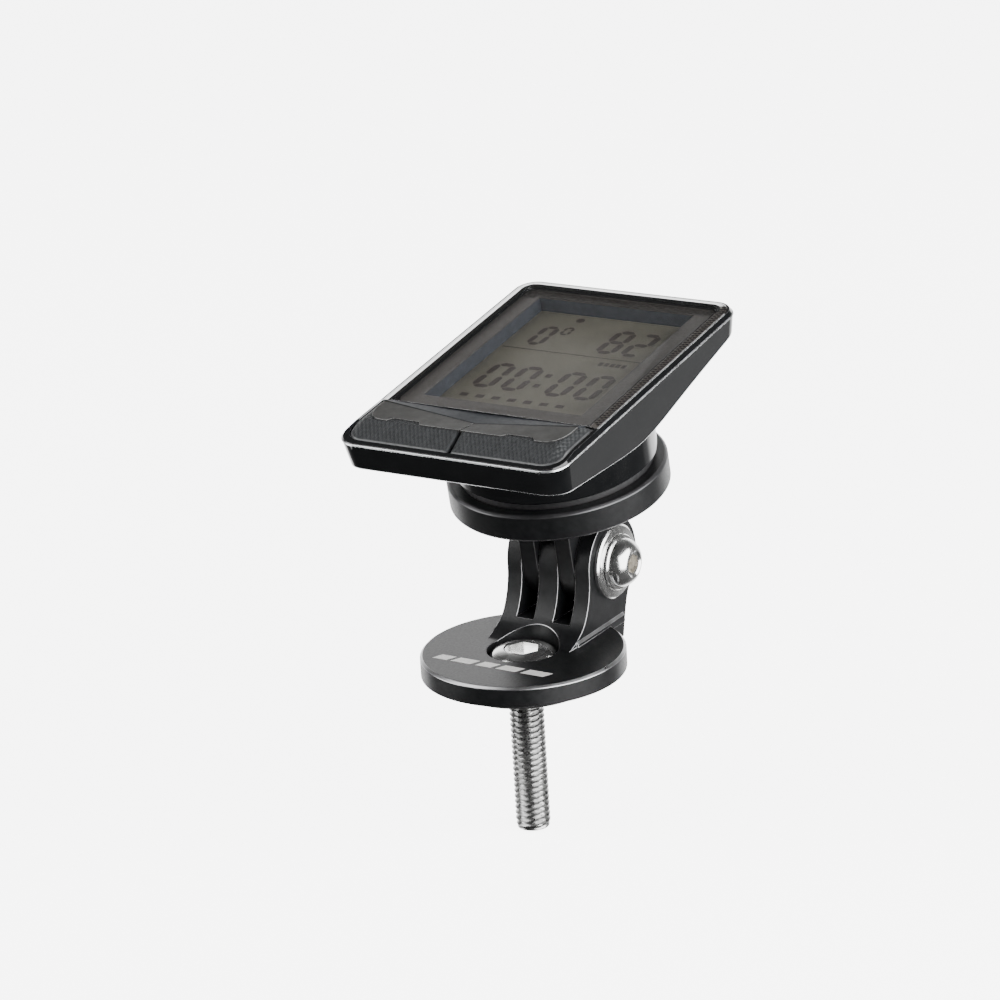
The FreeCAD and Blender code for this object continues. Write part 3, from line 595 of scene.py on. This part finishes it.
def plain_inner(name, dark, light, low, high, metallic=0.0, scale=1500.0):
    """A finish for the sealed inner pieces: mottled colour, uneven gloss and a fine grain."""
    f = Finish(name, Metallic=metallic)
    f.colour(f.noise(scale, 4, 0.6), (0.3, dark), (0.7, light))
    f.roughness(f.noise(scale * 2, 3), low, high)
    f.bump(f.noise(scale * 5, 2), 0.2, 0.000008)
    return f.material


def board_green():
    """Solder mask over copper tracks."""
    f = Finish("board_green", Specular_IOR_Level=0.55, Coat_Weight=0.3)
    tracks = f.cell_edges(900, (1.0, 0.35, 1.0))
    f.colour(tracks, (0.02, (0.030, 0.150, 0.070)), (0.10, (0.010, 0.060, 0.030)))
    f.roughness(f.noise(2000, 3), 0.22, 0.36)
    f.bump(tracks, 0.3, 0.00002)
    return f.material


ANODISED = anodised_black()
CUT_EDGE_AND_HIGHLIGHT = cut_edge_and_highlight()
DIM_EDGE_HIGHLIGHT = dim_edge_highlight()
STEEL = bright_steel()
THREAD = threaded_steel()
GLOSS = gloss_black()
PAINTED_GLOSS_HIGHLIGHT = painted_gloss_highlight()
DOCK = dock_plastic()
LENS = clear_lens()
MASK = mask_print()
BEZEL = bezel_blue_grey()
LCD = lcd_field()
INK = lcd_ink()
ACCENT = accent_satin()
PAD = key_pad_plastic()
PANEL = key_panel_satin()
PANEL_EDGE_HIGHLIGHT = panel_edge_highlight()
BORDER = clear_border()
PRINT = pale_print()
BLACK_PRINT_AND_SHADOW = black_print_and_shadow()
SOCKET = socket_steel()
PAD_EDGE_HIGHLIGHT = pad_edge_highlight()
GLINT = painted_edge_glint()
RIB_GROUND_PAINTED_LIGHT = rib_ground_painted_light()

BY_SLOT = {
    "anodised_black": ANODISED, "bright_steel": STEEL, "gloss_black": GLOSS, "dock_plastic": DOCK,
    "clear_lens": LENS, "mask_print": MASK, "bezel_blue_grey": BEZEL, "lcd": LCD, "accent": ACCENT,
    "key_pad": PAD, "key_panel": PANEL,
    "seal_rubber": plain_inner("seal_rubber", (0.016, 0.016, 0.016), (0.030, 0.030, 0.030), 0.55, 0.75),
    "screw_steel": plain_inner("screw_steel", (0.22, 0.22, 0.23), (0.38, 0.38, 0.39), 0.25, 0.40, 1.0),
    "board_green": board_green(),
    "chip_black": plain_inner("chip_black", (0.010, 0.010, 0.010), (0.022, 0.022, 0.022), 0.45, 0.65),
    "cell_steel": plain_inner("cell_steel", (0.48, 0.48, 0.46), (0.64, 0.64, 0.62), 0.20, 0.34, 1.0, 700.0),
    "spring_brass": plain_inner("spring_brass", (0.62, 0.45, 0.18), (0.82, 0.64, 0.30), 0.20, 0.32, 1.0),
    "light_plastic": plain_inner("light_plastic", (0.72, 0.73, 0.71), (0.84, 0.85, 0.83), 0.25, 0.38),
}


def dress_cad_nodes():
    """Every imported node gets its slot's finish."""
    for entry in frame["record"]["subparts"]:
        obj = frame["nodes"][entry["node"]]
        obj.data.materials.clear()
        obj.data.materials.append(BY_SLOT[entry["material_slot"]])


# ---- base: cap, fork and bolts --------------------------------------------------------------------
EDGE = 0.13              # width of the rounded edges on the anodised parts
ALONG_X = Matrix.Rotation(math.radians(90), 4, "Y")
LAP = 0.05               # how far the solids of one bolt run into each other
TURNED_ANGLE = 24        # turned profiles are smooth up to this angle

# A bolt's profile, neck and thread are about z with its head's seat at 0.
M6_SEAT_Z = 1.3
M6_HEAD = [(0, 0), (5.6, 0), (5.8, 0.2), (5.8, 1.05), (5.72, 1.25), (5.45, 1.55), (4.95, 1.95), (4.2, 2.25),
           (3.5, 2.42), (3.3, 2.45), (3.05, 2.3), (0, 2.3)]
M6_SOCKET = (5.0, 0.45)         # across flats, and the height of its floor
M6_NECK = (2.7, -4.3)           # radius, and where it ends
M6_THREAD = (3.0, 1.0, 0.55)    # radius, pitch and depth
M5_HEAD = [(0, 0), (4.65, 0), (4.8, 0.14), (4.8, 0.46), (4.66, 0.6), (4.28, 0.6), (4.24, 0.72), (4.22, 1.0),
           (4.1, 1.45), (3.85, 1.95), (3.5, 2.42), (3.1, 2.8), (2.7, 3.03), (2.5, 3.08), (2.3, 3.1),
           (1.9, 2.85), (0, 2.85)]
M5_SOCKET = (3.0, 1.3)
M5_NECK = (2.5, -8.0)
M5_THREAD = (2.5, 0.8, 0.42)
SOCKET_R = 1.75                 # the recess of the hinge bolt, for its finish
SOCKET_Z = (0.5, 2.6)
WASHER = [(2.65, 0), (6.25, 0), (6.4, 0.15), (6.4, 0.68), (6.1, 0.95), (4.95, 1.1), (4.85, 1.0), (2.65, 1.0)]

MARK_BARS = ((-12.0, -9.3), (-8.4, -4.6), (-3.6, -0.6), (0.4, 4.2), (5.2, 9.6))
MARK_Y = (-9.5, -7.6)
MARK_SLANT = 0.9


def cap_and_fork():
    bm = copy_of("stem_cap", ROW)
    low, high = FORK_HALF - 0.1, FORK_HALF + 0.6
    # The cap's rim chamfer, the fork's foot chamfer and the rounded edges take the bright cut-edge finish:
    # real machined edges with a painted highlight.
    paint(bm, 1, lambda c, n: is_chamfer(n.z) and c.xy.length > CAP_R - 0.6 and c.z < CAP_T + 0.1)
    paint(bm, 1, lambda c, n: is_chamfer(n.z) and abs(n.x) > 0.6 and low < abs(c.x) < high)
    piece("cap_and_fork", bm, ROW, "base", [ANODISED, CUT_EDGE_AND_HIGHLIGHT], ["stem_cap"],
          bevel=EDGE, angle=32, edge_slot=1)


def cap_mark():
    """A plain row of slanted bars, printed on the cap."""
    bars = []
    low, high = MARK_Y
    for x0, x1 in MARK_BARS:
        outline = [(x0, low), (x1, low), (x1 + MARK_SLANT, high), (x0 + MARK_SLANT, high)]
        bars.append(extruded(outline, CAP_T - 0.03, CAP_T + 0.015))
    piece("cap_mark", merged(bars), ROW, "base", [PRINT])


def bolt(profile, socket, neck, thread, end):
    """A turned head with a hexagon socket, a plain neck, and a thread that takes the second material."""
    across_flats, socket_floor = socket
    head = cut(lathe(profile), extruded(hexagon(across_flats), socket_floor, FAR))
    r, low = neck
    plain = lathe([(0, low - LAP), (r, low - LAP), (r, LAP), (0, LAP)])
    whole = merged([head, plain, threaded(*thread, end, low)])
    paint(whole, 1, lambda c, n: c.z < -0.1)
    return whole


def cap_bolt():
    whole = bolt(M6_HEAD, M6_SOCKET, M6_NECK, M6_THREAD, CAP_BOLT_END - M6_SEAT_Z)
    seat = Matrix.Translation((0, 0, M6_SEAT_Z))
    piece("cap_bolt_detail", moved(whole, seat), ROW, "base", [STEEL, THREAD], ["cap_bolt"],
          angle=TURNED_ANGLE)


def hinge_bolt():
    whole = bolt(M5_HEAD, M5_SOCKET, M5_NECK, M5_THREAD, HINGE_BOLT_END - WASHER_HI.x)
    paint(whole, 2, lambda c, n: c.xy.length < SOCKET_R and SOCKET_Z[0] < c.z < SOCKET_Z[1])
    seat = Matrix.Translation((WASHER_HI.x, HINGE.y, HINGE.z)) @ ALONG_X
    piece("hinge_bolt_detail", moved(whole, seat), ROW, "base", [STEEL, THREAD, SOCKET],
          ["hinge_bolt"], angle=TURNED_ANGLE)


def hinge_washer():
    seat = Matrix.Translation((WASHER_LO.x, HINGE.y, HINGE.z)) @ ALONG_X
    piece("hinge_washer_detail", moved(lathe(WASHER), seat), ROW, "base", [STEEL],
          ["hinge_washer"], angle=TURNED_ANGLE)


def hinge_nut():
    bm = copy_of("hinge_nut", ROW)
    piece("hinge_nut_detail", bm, ROW, "base", [STEEL], ["hinge_nut"],
          bevel=0.25, angle=32, segments=3)


# ---- dock -----------------------------------------------------------------------------------------
def dock():
    bm = copy_of("dock_plate", HEAD)
    # The dock's chamfers and rounded edges take a dim grey, a painted highlight.
    paint(bm, 1, lambda c, n: is_chamfer(abs(n.z)) and c.xy.length > DOCK_R - 0.6)
    piece("dock_detail", bm, HEAD, "dock", [ANODISED, DIM_EDGE_HIGHLIGHT], ["dock_plate"],
          bevel=EDGE, angle=32, edge_slot=1)
    bm = copy_of("dock_insert", HEAD)
    piece("bayonet_detail", bm, HEAD, "dock", [DOCK], ["dock_insert"], bevel=0.15, angle=32)


# ---- computer: shells and window -------------------------------------------------------------------
PEDESTAL_R = 17.32              # just outside the rear case's own pedestal and flare
FLARE_R = 18.92
PEDESTAL_WALL = 0.32
PEDESTAL = [(PEDESTAL_R - PEDESTAL_WALL, 1.63), (PEDESTAL_R, 1.63), (PEDESTAL_R, 7.6), (FLARE_R, 10.9),
            (FLARE_R, 12.4), (FLARE_R - PEDESTAL_WALL, 12.4), (FLARE_R - PEDESTAL_WALL, 11.0),
            (PEDESTAL_R - PEDESTAL_WALL, 7.7)]
KEY_BORDER = 7.0                # how far the left border's finish runs on beside the keys
MASK_CORNER = 2.4
MASK_LINE = 0.5
RIB_COUNT = 52                  # in each row
RIB_ROWS = (0.95, 1.5)          # each row's distance in from the edge
RIB_WIDTH = 0.5
RIB_THICK = 0.34
RIB_LEAN = 0.14
# size and place of the bright strip that paints the seam's highlight
HIGHLIGHT_BEAD_R = 0.17
HIGHLIGHT_BEAD_INSET = 0.07
LINE_SECTION = ((0, 0), (0.3, 0.8), (0.5, 1), (0.7, 0.8), (1, 0))    # place across a line, share of its lift
LINE_DEPTH = 0.1
DARK_LINES = ((0.47, 0.84, 0.012), (1.08, 1.20, 0.012), (1.92, 2.36, 0.015))    # from, to, lift
# the bright strip that paints a highlight along the border's right side
RIGHT_HIGHLIGHT = (0.47, 0.78, 0.09)


def on_outer_edge(p):
    """The rear shell's edges that catch the light: its sides and its end, clear of the pedestal."""
    return p.xy.length > DOCK_R + 0.5 and (abs(p.x) > HALF_W - 2 or p.y < CASE_LO.y + 3)


def rear_shell():
    """The rear case, and a clean turned skin over its pedestal."""
    bm = copy_of("rear_case", HEAD)
    # The outer edges are rounded in the bright glint finish, a painted highlight.
    piece("rear_shell", bm, HEAD, "computer", [GLOSS, GLINT], ["rear_case"],
          bevel=0.24, angle=20, edge_slot=1, chosen=on_outer_edge)
    piece("pedestal_skin", lathe(PEDESTAL), HEAD, "computer", [GLOSS], angle=20)


def on_border(c, n):
    """Whether a face of the front shell belongs to its sloping border."""
    return n.z > 0.9 and c.z > TOP - 0.3


def front_shell():
    """The front case. Its border is clear to the left and at the far end, and a dark print on the right,
    painted lighter than the mask print to make up for the shade there.
    """
    bm = copy_of("front_case", HEAD)
    everything = list(bm.verts) + list(bm.edges) + list(bm.faces)
    bmesh.ops.bisect_plane(bm, geom=everything, plane_co=(0, LENS_END, 0), plane_no=(0, 1, 0), dist=1e-4)
    finishes = [GLOSS, PAINTED_GLOSS_HIGHLIGHT, BORDER, RIB_GROUND_PAINTED_LIGHT]
    clear, dark = finishes.index(BORDER), finishes.index(RIB_GROUND_PAINTED_LIGHT)
    paint(bm, clear, lambda c, n: on_border(c, n) and c.y > LENS_END)
    paint(bm, dark, lambda c, n: on_border(c, n) and c.y > LENS_END and n.x > 0.1)
    paint(bm, clear, lambda c, n: on_border(c, n) and c.y > LENS_END - KEY_BORDER and n.x < -0.1)
    # The rounded edges take a lighter grey, a painted highlight.
    piece("front_shell", bm, HEAD, "computer", finishes, ["front_case"],
          bevel=0.12, angle=34, edge_slot=1)


def lens():
    bm = copy_of("display_lens", HEAD)
    paint(bm, 1, lambda c, n: n.z < 0.9 and c.z > TOP - 0.2 and c.y > LENS_END + 0.5)
    piece("window_cover", bm, HEAD, "computer", [LENS, BORDER], ["display_lens"])


def mask():
    """The printed border, with a black line round its outer edge except along the right side."""
    bm = copy_of("window_mask", HEAD)
    piece("mask_sheet", bm, HEAD, "computer", [MASK], ["window_mask"])
    mid, half = (MASK_HI.y + MASK_LO.y) / 2, (MASK_HI.y - MASK_LO.y) / 2
    outer = rounded_rect(MASK_HI.x, half, MASK_CORNER, mid)
    inner = rounded_rect(MASK_HI.x - MASK_LINE, half - MASK_LINE, MASK_CORNER - MASK_LINE, mid)
    right = box_outline(MASK_HI.x - 1, FAR, -FAR, MASK_HI.y - 2.5)
    band = extruded(outer, MASK_HI.z - 0.05, MASK_HI.z + 0.02)
    line = cut(band, extruded(inner, 0, FAR), extruded(right, 0, FAR))
    piece("mask_line", line, HEAD, "computer", [BLACK_PRINT_AND_SHADOW])


def border_height(inset):
    """The sloping border's height at a distance in from the head's edge."""
    return TOP - BORDER_DROP * max(0.0, (BORDER_IN - inset) / (BORDER_IN - BORDER_OUT))


def ribs():
    """Two staggered rows of dark ribs moulded in the border's right side."""
    solids = []
    start, run = LENS_END + 0.9, CASE_HI.y - 3.4 - LENS_END
    for row, inset in enumerate(RIB_ROWS):
        x0, x1 = HALF_W - inset - RIB_WIDTH, HALF_W - inset
        for k in range(RIB_COUNT):
            y = start + run * (k + 0.5 * row) / RIB_COUNT
            outline = [(x0, y), (x1, y + RIB_LEAN), (x1, y + RIB_LEAN + RIB_THICK), (x0, y + RIB_THICK)]
            solids.append(extruded(outline, border_height(inset) - 0.1, border_height(inset + 0.4) + 0.03))
    piece("border_ribs", merged(solids), HEAD, "computer", [BLACK_PRINT_AND_SHADOW])


def swept(profile):
    """A closed band round the head's outline, through (distance in from the edge, height) points."""
    bm = bmesh.new()
    loops = []
    for inset, z in profile:
        outline = rounded_rect(HALF_W - inset, HALF_L - inset, CORNER - CORNER_RATE * inset, MID_Y, 12)
        loops.append([bm.verts.new((x, y, z)) for x, y in outline])
    join_loops(bm, loops + loops[:1])
    bmesh.ops.recalc_face_normals(bm, faces=bm.faces)
    return bm


def seam_highlight():
    """A bright half-round strip along the seam between the two shells, which paints a highlight there."""
    curve = [(HIGHLIGHT_BEAD_INSET - across, SEAM + up) for up, across in arc(0, 0, HIGHLIGHT_BEAD_R, 90, -90, 8)]
    piece("seam_highlight", swept(curve), HEAD, "computer", [GLINT], angle=60)


def border_ring(outer, inner, lift):
    """A thin line that lies on the sloping border, between two distances in from the head's edge."""
    profile = [(outer + (inner - outer) * t, lift * rise) for t, rise in LINE_SECTION]
    profile += [(inner, -LINE_DEPTH), (outer, -LINE_DEPTH)]
    ring = swept([(inset, border_height(inset) + rise) for inset, rise in profile])
    return cut(ring, extruded(box_outline(-FAR, FAR, -FAR, LENS_END + 0.02), 0, FAR))


def border_lines():
    """Dark lines round the left and far sides of the border, and a bright strip along its right side that
    paints a highlight there.
    """
    x0, x1 = HALF_W - 3, HALF_W + 3
    right = [(x0, -FAR), (x1, -FAR), (x1, CASE_HI.y - 4.0), (x0, CASE_HI.y - 5.0)]
    dark = [cut(border_ring(*line), extruded(right, 0, FAR)) for line in DARK_LINES]
    piece("border_lines", merged(dark), HEAD, "computer", [BLACK_PRINT_AND_SHADOW])
    highlight_strip = inside(border_ring(*RIGHT_HIGHLIGHT), extruded(right, 0, FAR))
    piece("border_highlight", highlight_strip, HEAD, "computer", [GLINT], angle=60)


def bezel():
    bm = copy_of("lcd_bezel", HEAD)
    piece("display_frame", bm, HEAD, "computer", [BEZEL], ["lcd_bezel"])


# ---- display --------------------------------------------------------------------------------------
SEGMENTS = {"0": "abcdef", "8": "abcdefg", "2": "abged"}
INK_LOW = LCD_TOP - 0.03
INK_HIGH = LCD_TOP + 0.02
SLANT = 0.06
CLOCK_DIGIT = (4.2, 9.2, 1.15)          # width, height and stroke
SPEED_DIGIT = (3.2, 7.2, 0.95)
TENTHS_DIGIT = (1.9, 3.0, 0.55)
COUNT_DIGIT = (3.9, 8.8, 1.1)
CLOCK_X = (-12.6, -7.1, 1.4, 6.9)
CLOCK_Y = -3.9
COUNT_Y = 12.6
COLON = ((-1.35, 2.2), (-1.5, -1.6))    # the lower left corner of each dot
COLON_DOT = (1.1, 1.2)
RULE_Y = (10.95, 11.2)
RULE_MARGIN = 0.9
UNIT_MARK = (0.8, 1.2)
LOWER_MARK = (1.5, 1.1)


def bar(a, b, width):
    """A display segment between two points, pointed at both ends."""
    a, b = Vector(a), Vector(b)
    along = (b - a).normalized()
    side = Vector((-along.y, along.x)) * width / 2
    step = along * width / 2
    return [a, a + step - side, b - step - side, b, b - step + side, a + step + side]


def digit(text, x, y, wide, tall, width):
    """Seven-segment outlines in a box whose lower left corner is at (x, y)."""
    w, h = wide - width, tall - width
    x, y = x + width / 2, y + width / 2
    gap = width * 0.12
    ends = {"a": ((0, h), (w, h)), "b": ((w, h), (w, h / 2)), "c": ((w, h / 2), (w, 0)),
            "d": ((0, 0), (w, 0)), "e": ((0, h / 2), (0, 0)), "f": ((0, h), (0, h / 2)),
            "g": ((0, h / 2), (w, h / 2))}
    shapes = []
    for name in SEGMENTS[text]:
        a, b = Vector(ends[name][0]), Vector(ends[name][1])
        pull = (b - a).normalized() * gap
        shapes.append([(x + p.x + SLANT * p.y, y + p.y) for p in bar(a + pull, b - pull, width)])
    return shapes


def block(x, y, wide, tall):
    return box_outline(x, x + wide, y, y + tall)


def inked(name, outlines):
    """A piece of thin print on the display, from its outlines."""
    solids = [extruded(outline, INK_LOW, INK_HIGH) for outline in outlines]
    piece(name, merged(solids), HEAD, "computer", [INK])


def display():
    bm = copy_of("lcd_glass", HEAD)
    piece("display_panel", bm, HEAD, "computer", [LCD], ["lcd_glass"])
    clock = []
    for x in CLOCK_X:
        clock += digit("0", x, CLOCK_Y, *CLOCK_DIGIT)
    clock += [block(x, y, *COLON_DOT) for x, y in COLON]
    inked("display_clock", clock)
    inked("display_speed", digit("0", -11.6, 12.8, *SPEED_DIGIT) + digit("0", -7.5, 17.4, *TENTHS_DIGIT))
    inked("display_count", digit("8", 2.1, COUNT_Y, *COUNT_DIGIT) + digit("2", 6.9, COUNT_Y, *COUNT_DIGIT))
    marks = [box_outline(LCD_LO.x + RULE_MARGIN, LCD_HI.x - RULE_MARGIN, *RULE_Y)]
    marks += [block(5.4 + 1.1 * k, 8.4, *UNIT_MARK) for k in range(5)]
    marks += [block(-12.4 + 3.1 * k, -7.4, *LOWER_MARK) for k in range(7)]
    marks += [arc(-6.3, 23.2, 0.8, 0, 330, 11)]
    inked("display_marks", marks)


# ---- keys ------------------------------------------------------------------------------------------
RIDGE_Y = -26.15
V_POINT = Vector((0.0, -21.45))         # the V groove's middle, and its right-hand end
V_TIP = Vector((18.5, -19.55))
FIELD_X = (0.0, 18.5, 20.4)
# The field's height over the head's top, for each of those places across: at the lens, at the groove, on the
# ridge and at the near edge.
FIELD_H = ((-0.25, 0.0, 1.1, -0.8), (-0.05, 0.95, 1.1, -0.75), (-0.25, -0.15, -0.25, -1.05))
RIM_R = 3.1
WEAVE = 0.78
WEAVE_DEPTH = 0.20
WEAVE_LEAN = 0.62
WEAVE_POWER = 0.55                      # under 1, for lozenges with full tops
PLAIN_RIM = 0.35                        # the weave fades in over FADE inside this plain rim
FADE = 0.15
PLAIN_DROP = 0.05
PAD_DROP = 0.125
RIM_ROUND = 0.32
RIM_SLOPE = 0.8
STEP = 0.11
GROOVE_STEPS = 24
GROOVE_SECTION = ((-0.02, -0.6), (-0.02, 0.02), (-0.36, 0.03), (-0.36, -0.6))    # (y, z) from the V's line


def between(value, stops):
    """Reads a height off a row of (place, height) stops."""
    if value <= stops[0][0]:
        return stops[0][1]
    for (a, low), (b, high) in zip(stops, stops[1:]):
        if value <= b:
            return low + (high - low) * (value - a) / (b - a)
    return stops[-1][1]


def field_height(x, y):
    """The key field's smooth surface over the head's frame."""
    k = 0 if x < FIELD_X[1] else 1
    t = (x - FIELD_X[k]) / (FIELD_X[k + 1] - FIELD_X[k])
    v_y = V_POINT.y + (V_TIP.y - V_POINT.y) * (t if k == 0 else 1.0)
    places = (KEY_LO.y - 0.1, RIDGE_Y, v_y, LENS_END)
    heights = [a + (b - a) * t for a, b in zip(reversed(FIELD_H[k]), reversed(FIELD_H[k + 1]))]
    return TOP + between(y, list(zip(places, heights)))


def rim_distance(x, y):
    """How far a point is in from the key's rounded outer edge."""
    dx, dy = KEY_HI.x - x, y - KEY_LO.y
    if dx < RIM_R and dy < RIM_R:
        return RIM_R - math.hypot(RIM_R - dx, RIM_R - dy)
    return min(dx, dy)


def woven_height(x, y):
    """The pad's surface: lozenges inside a plain, rounded rim."""
    u = math.sin(math.pi * (x + WEAVE_LEAN * y) / WEAVE)
    v = math.sin(math.pi * (x - WEAVE_LEAN * y) / WEAVE)
    hollow = WEAVE_DEPTH * (1 - abs(u * v) ** WEAVE_POWER)
    inset = min(rim_distance(x, y), x - KEY_LO.x)
    woven = min(1.0, max(0.0, (inset - PLAIN_RIM) / FADE))
    rounding = RIM_SLOPE * max(0.0, RIM_ROUND - inset)
    return field_height(x, y) - PAD_DROP - hollow * woven - PLAIN_DROP * (1 - woven) - rounding


def woven_block():
    """A solid whose top is the woven surface of the right key."""
    nx = int((KEY_HI.x - KEY_LO.x + 0.4) / STEP)
    ny = int((LENS_END - KEY_LO.y + 0.2) / STEP)
    xs = [KEY_LO.x - 0.2 + STEP * i for i in range(nx + 1)]
    ys = [KEY_LO.y - 0.2 + STEP * i for i in range(ny + 1)]
    bm = bmesh.new()
    grid = [[bm.verts.new((x, y, woven_height(x, y))) for x in xs] for y in ys]
    for j in range(ny):
        for i in range(nx):
            bm.faces.new([grid[j][i], grid[j][i + 1], grid[j + 1][i + 1], grid[j + 1][i]])
    low = KEY_LO.z - 1.0
    ring = grid[0] + [row[-1] for row in grid[1:]] + grid[-1][-2::-1] + [row[0] for row in grid[-2:0:-1]]
    base = [bm.verts.new((v.co.x, v.co.y, low)) for v in ring]
    join_loops(bm, [ring, base])
    bm.faces.new(base)
    bmesh.ops.recalc_face_normals(bm, faces=bm.faces)
    return bm


def groove(side):
    """One half of the dark strip that paints the shadow in the groove between the accent and the panels."""
    bm = bmesh.new()
    rows = []
    for k in range(GROOVE_STEPS + 1):
        t = k / GROOVE_STEPS
        x, y = V_TIP.x * t, V_POINT.y + (V_TIP.y - V_POINT.y) * t
        z = field_height(x, y)
        rows.append([bm.verts.new((side * x, y + dy, z + dz)) for dy, dz in GROOVE_SECTION])
    join_loops(bm, rows)
    bm.faces.new(rows[0])
    bm.faces.new(rows[-1])
    bmesh.ops.recalc_face_normals(bm, faces=bm.faces)
    return bm


def keys():
    """The two pads with their woven tops, and the smooth panels let into them."""
    right = inside(copy_of("button_right", HEAD), woven_block())
    # The keys' plain rounded rim takes a lighter grey, a painted highlight.
    paint(right, 1, lambda c, n: n.z > 0.3 and rim_distance(c.x, c.y) < 0.34)
    left = right.copy()
    bmesh.ops.scale(left, vec=(-1, 1, 1), verts=left.verts)
    bmesh.ops.reverse_faces(left, faces=left.faces)
    for side, bm in (("right", right), ("left", left)):
        piece("pad_" + side, bm, HEAD, side + "_key", [PAD, PAD_EDGE_HIGHLIGHT], ["button_" + side],
              angle=38)
        panel = copy_of("button_inlay_" + side, HEAD)
        # The panels' rounded edges take a lighter grey, a painted highlight.
        piece("panel_" + side, panel, HEAD, side + "_key", [PANEL, PANEL_EDGE_HIGHLIGHT],
              ["button_inlay_" + side], bevel=0.13, angle=32, edge_slot=1)
    trim = copy_of("accent_trim", HEAD)
    piece("accent_wedge", trim, HEAD, "computer", [ACCENT], ["accent_trim"], bevel=0.05, angle=32)
    # A dark strip in the groove between the accent and the panels paints its shadow.
    piece("groove_painted_shadow", merged([groove(1), groove(-1)]), HEAD, "computer", [BLACK_PRINT_AND_SHADOW])


# ---- stage ---------------------------------------------------------------------------------------
CAMERA_AT = Vector((0.32899, -0.51217, 0.24272))
CAMERA_AZIMUTH = 32.93
CAMERA_ELEVATION = 19.25
CAMERA_ROLL = 3.57
CAMERA_LENS = 140.15


def camera():
    data = bpy.data.cameras.new("camera")
    data.sensor_width = 36.0
    data.lens = CAMERA_LENS
    data.clip_start = 0.01
    data.clip_end = 20.0
    obj = bpy.data.objects.new("camera", data)
    bpy.context.scene.collection.objects.link(obj)
    level = Matrix.Rotation(math.radians(CAMERA_AZIMUTH), 4, "Z")
    pitch = Matrix.Rotation(math.radians(90 - CAMERA_ELEVATION), 4, "X")
    roll = Matrix.Rotation(math.radians(-CAMERA_ROLL), 4, "Z")
    obj.matrix_world = Matrix.Translation(CAMERA_AT) @ level @ pitch @ roll
    bpy.context.scene.camera = obj


def softbox(name, azimuth, elevation, distance, size, power):
    """A rectangular light that faces the object from a direction, in degrees as for the camera."""
    a, e = math.radians(azimuth), math.radians(elevation)
    back = Vector((math.sin(a) * math.cos(e), -math.cos(a) * math.cos(e), math.sin(e)))
    data = bpy.data.lights.new(name, "AREA")
    data.shape = "RECTANGLE"
    data.size, data.size_y = size
    data.energy = power
    obj = bpy.data.objects.new(name, data)
    bpy.context.scene.collection.objects.link(obj)
    obj.location = HINGE_AT + back * distance
    obj.rotation_mode = "QUATERNION"
    obj.rotation_quaternion = back.to_track_quat("Z", "Y")


FLOOR_PROFILE = ((0, 0), (3.0, 0), (3.4, 0.05), (3.7, 0.2), (3.9, 0.5), (4.0, 1.0), (4.0, 4.0))
FLOOR_GAP = 0.0005


def floor():
    """A plain pale floor that sweeps up into a wall all round, lit evenly and not mirrored in the object."""
    mesh = to_mesh(lathe(FLOOR_PROFILE, 96), "floor")
    white = (1.0, 1.0, 1.0, 1.0)
    f = Finish("floor_white", Specular_IOR_Level=0.2, Emission_Color=white, Emission_Strength=6.0)
    f.colour(f.noise(3, 3), (0.3, (0.80, 0.80, 0.80)), (0.7, (0.84, 0.84, 0.84)))
    f.roughness(f.noise(8, 3), 0.7, 0.8)
    mesh.materials.append(f.material)
    obj = bpy.data.objects.new("floor", mesh)
    bpy.context.scene.collection.objects.link(obj)
    obj.location.z = CAD_BOX[0][2] - FLOOR_GAP
    obj.visible_glossy = False
    obj.visible_diffuse = False
    obj.visible_shadow = False


BRIGHT_SIDE = (-0.50, 0.83, -0.28)
WORLD_STOPS = ((0.20, 0.04), (0.53, 0.08), (0.585, 0.30), (0.67, 0.42), (0.73, 1.4), (0.80, 3.0))


def world():
    """A studio that is bright behind the object, near the horizon, and dim overhead and in front."""
    w = bpy.data.worlds.new("studio")
    w.use_nodes = True
    nodes, links = w.node_tree.nodes, w.node_tree.links
    direction = nodes.new("ShaderNodeTexCoord").outputs["Generated"]
    along = nodes.new("ShaderNodeVectorMath")
    along.operation = "DOT_PRODUCT"
    along.inputs[1].default_value = BRIGHT_SIDE
    links.new(direction, along.inputs[0])
    ramp = nodes.new("ShaderNodeValToRGB")
    elements = ramp.color_ramp.elements
    elements[1].position, elements[0].position = WORLD_STOPS[-1][0], WORLD_STOPS[0][0]
    for position, _ in WORLD_STOPS[1:-1]:
        elements.new(position)
    for element, (_, level) in zip(elements, WORLD_STOPS):
        element.color = (level, level, level, 1.0)
    links.new(along.outputs["Value"], ramp.inputs["Fac"])
    background = nodes["Background"]
    links.new(ramp.outputs["Color"], background.inputs["Color"])
    background.inputs["Strength"].default_value = 1.0
    bpy.context.scene.world = w


# name, azimuth, elevation, distance, size, watts
SOFTBOXES = (("key_light", -46, 42, 0.9, (0.7, 0.7), 5.0),
             ("side_light", 86, 12, 0.6, (0.95, 0.70), 15.0),
             ("fill_light", -56, 3, 0.6, (0.36, 0.42), 2.0))


def studio():
    camera()
    floor()
    world()
    for settings in SOFTBOXES:
        softbox(*settings)


dress_cad_nodes()
cap_and_fork()
cap_mark()
cap_bolt()
hinge_bolt()
hinge_washer()
hinge_nut()
dock()
rear_shell()
front_shell()
lens()
mask()
seam_highlight()
ribs()
border_lines()
bezel()
display()
keys()
studio()
